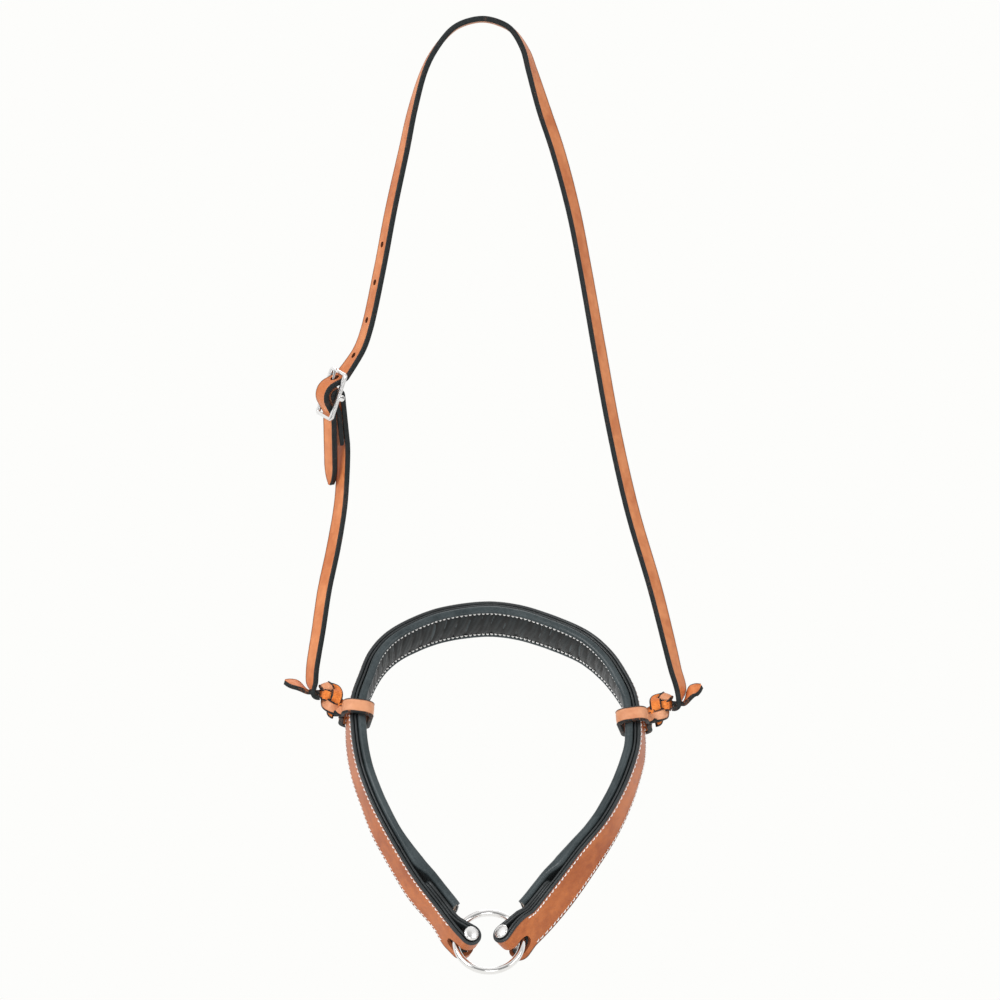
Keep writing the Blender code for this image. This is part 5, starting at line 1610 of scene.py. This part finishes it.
def buckleTongue():
    end = tongueEnd + (tongueEnd - tongueStart).normalized() * buckle["overhang"]
    eye = Vector(middleBar)
    route = []
    for index in range(31):
        angle = buckle["leave"] - buckle["wrap"] * (1 - index / 30)
        route.append(eye + Vector((math.cos(angle), math.sin(angle))) * tongueEye)
    leave = route[-1]
    for share in np.linspace(0.08, 1.0, 16):
        share = float(share)
        route.append(leave.lerp(end, share) + Vector((0.0, 0.0005 * math.sin(math.pi * share))))
    rings = []
    ways = tangents([Vector((point.x, point.y, 0)) for point in route])
    for index, (point, way) in enumerate(zip(route, ways)):
        radius = buckle["tongue"] * (0.6, 0.86, 0.97, 1.0)[min(3, len(route) - 1 - index)]
        outward = weaveOut * way.x - weaveDown * way.y
        around = spokes(weaveAcross, outward, 16, 0.5)
        rings.append([weave(point) + spoke * radius for spoke in around])
    showMesh(
        "buckleTongue", skinRings(rings, capKind=0), [finishes["steel"]],
        "tongue", ["buckle_tongue"],
    )


def tieDownRing():
    place = sheetPoint(ringSide, -band["drop"])
    normal = Vector((0, math.cos(ring["tilt"]), -math.sin(ring["tilt"])))
    rings = []
    for spoke in spokes(right, normal.cross(right), ring["steps"]):
        centre = place + spoke * ring["radius"]
        around = spokes(spoke, normal, ring["sides"])
        rings.append([centre + outward * ring["wire"] for outward in around])
    showMesh(
        "tieDownRing", skinRings(rings, True), [finishes["steel"]],
        "ring", ["tie_down_ring"],
    )


def domed(base, flip):
    # a pin head's profile, from its seat to its crown
    radius, rim, bevel = pin["headRadius"], pin["rim"], pin["bevel"]
    profile = [(base, radius - bevel), (base + flip * bevel, radius), (base + flip * rim, radius)]
    for step in range(1, 12):
        angle = quarterTurn * step / 12
        rise = rim + (pin["headRise"] - rim) * math.sin(angle)
        profile.append((base + flip * rise, radius * math.cos(angle)))
    return profile


def screwPost(side, outboard):
    across = endFrame(side, outboard)[1]
    seat = band["width"] / 2 + fit["gap"]
    face = seat + fit["gap"]
    floor = seat - pin["screwLength"] - fit["gap"]
    radius, bore = pin["radius"], pin["bore"]
    barrel = [(-seat, radius), (seat, radius), (seat, bore), (floor, bore)]
    thread = [(face - pin["screwLength"], pin["screwRadius"]), (face, pin["screwRadius"])]
    profiles = {"post": domed(-seat, -1)[::-1] + barrel, "screw": thread + domed(face, 1)}
    for part, profile in profiles.items():
        skin = turned(pinPlace(outboard), across, profile, pin["sides"])
        showMesh(
            f"{side}Pin{part.capitalize()}", skin, [finishes["pinSteel"]],
            f"{side}_pin", [f"{side}_pin_{part}"],
        )


buckleFrame()
buckleTongue()
tieDownRing()
for side, outboard, _ in ends:
    screwPost(side, outboard)

print("setting the room")
white = (1.0, 1.0, 1.0)
studio = {
    "floorHeight": -0.70, "floorSize": 1.8, "paper": (0.93, 0.93, 0.92), "shown": 0.70,
    "skyStrength": 0.55, "background": (0.982, 0.982, 0.966), "faded": (0.45, 0.85),
    "paleSide": (0.0, 1.0, 0.75), "paleRamp": (-0.45, 0.40), "dim": 0.30,
    "middle": Vector((0.0109, 0.0, -0.3059)),
    "lamps": (
        ((-2.0, -2.5, 1.1), 1.5, 66.0), ((2.3, -2.2, 0.5), 1.5, 23.0), ((0.3, 1.8, 2.0), 1.6, 16.0),
        ((0.2, -2.8, -0.55), 1.0, 7.0),
    ),
}


def paperFloor():
    # the floor keeps the shadow, and far out it fades into the background
    paper = Finish("paperFloor", 0.9)
    paper.colour(studio["paper"])
    rays = [f"Is {kind} Ray" for kind in ("Camera", "Glossy", "Transmission")]
    seen = sum(paper.node("ShaderNodeLightPath", output=ray) for ray in rays)
    glow = paper.node("ShaderNodeEmission", None, {"Color": studio["background"], "Strength": 1.0})
    level = paper.place((1, 1, 0))
    fromMiddle = paper.node("ShaderNodeVectorMath", {"operation": "LENGTH"}, {0: level}, 1)
    fade = paper.between(fromMiddle, *studio["faded"])
    share = paper.maths("MINIMUM", seen, 1.0) * (fade * (1 - studio["shown"]) + studio["shown"])
    shaded = Wire(paper, paper.shader.outputs[0])
    both = paper.node("ShaderNodeMixShader", None, {0: share, 1: shaded, 2: glow})
    paper.feed(paper.tree.nodes["Material Output"].inputs["Surface"], both)
    skin = bmesh.new()
    bmesh.ops.create_grid(skin, x_segments=8, y_segments=8, size=studio["floorSize"] / 2)
    bmesh.ops.translate(skin, verts=skin.verts, vec=(0, 0, studio["floorHeight"]))
    floor = showMesh("floor", skin, [paper], None, None, False)
    floor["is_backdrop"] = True


def paleRoom():
    # plain light; mirrors see it paler towards the back, and the camera sees the background
    world = bpy.data.worlds.new("paleRoom")
    bpy.context.scene.world = world
    world.use_nodes = True
    sheet = Sheet(world.node_tree)
    for old in list(sheet.tree.nodes):
        sheet.tree.nodes.remove(old)
    sky, shown, dim, pale = [
        sheet.node("ShaderNodeBackground", None, {"Color": colour, "Strength": strength})
        for colour, strength in (
            (white, studio["skyStrength"]), (studio["background"], 1.0),
            (white, studio["dim"]), (white, 1.0),
        )
    ]
    where = sheet.node("ShaderNodeTexCoord", output="Generated")
    slope = sheet.node(
        "ShaderNodeVectorMath", {"operation": "DOT_PRODUCT"}, {0: where, 1: studio["paleSide"]}, 1,
    )
    low, high = studio["paleRamp"]
    ramp = sheet.node("ShaderNodeMapRange", None, {0: slope, 1: low, 2: high})
    inMirrors = sheet.node("ShaderNodeMixShader", None, {0: ramp, 1: dim, 2: pale})
    for ray, seen in (("Is Glossy Ray", inMirrors), ("Is Camera Ray", shown)):
        share = sheet.node("ShaderNodeLightPath", output=ray)
        sky = sheet.node("ShaderNodeMixShader", None, {0: share, 1: sky, 2: seen})
    sheet.feed(sheet.tree.nodes.new("ShaderNodeOutputWorld").inputs["Surface"], sky)


def placed(name, data, place, turn):
    item = bpy.data.objects.new(name, data)
    item.location = place
    item.rotation_euler = turn
    bpy.context.scene.collection.objects.link(item)
    return item


def softLamps():
    for number, (place, size, power) in enumerate(studio["lamps"]):
        data = bpy.data.lights.new(f"softLamp{number}", "AREA")
        data.shape = "SQUARE"
        data.size = size
        data.energy = power
        aim = (studio["middle"] - Vector(place)).to_track_quat("-Z", "Y")
        placed(f"softLamp{number}", data, place, aim.to_euler())


camera = {"place": (0.0109, -4.0, -0.3059), "lens": 225.0, "sensor": 36.0}


def photoCamera():
    data = bpy.data.cameras.new("photoCamera")
    data.lens = camera["lens"]
    data.sensor_width = camera["sensor"]
    data.clip_end = 40.0
    item = placed("photoCamera", data, camera["place"], (quarterTurn, 0.0, 0.0))
    bpy.context.scene.camera = item


paperFloor()
paleRoom()
softLamps()
photoCamera()
bpy.context.scene.view_settings.view_transform = "Standard"

print("measuring")
low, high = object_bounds()
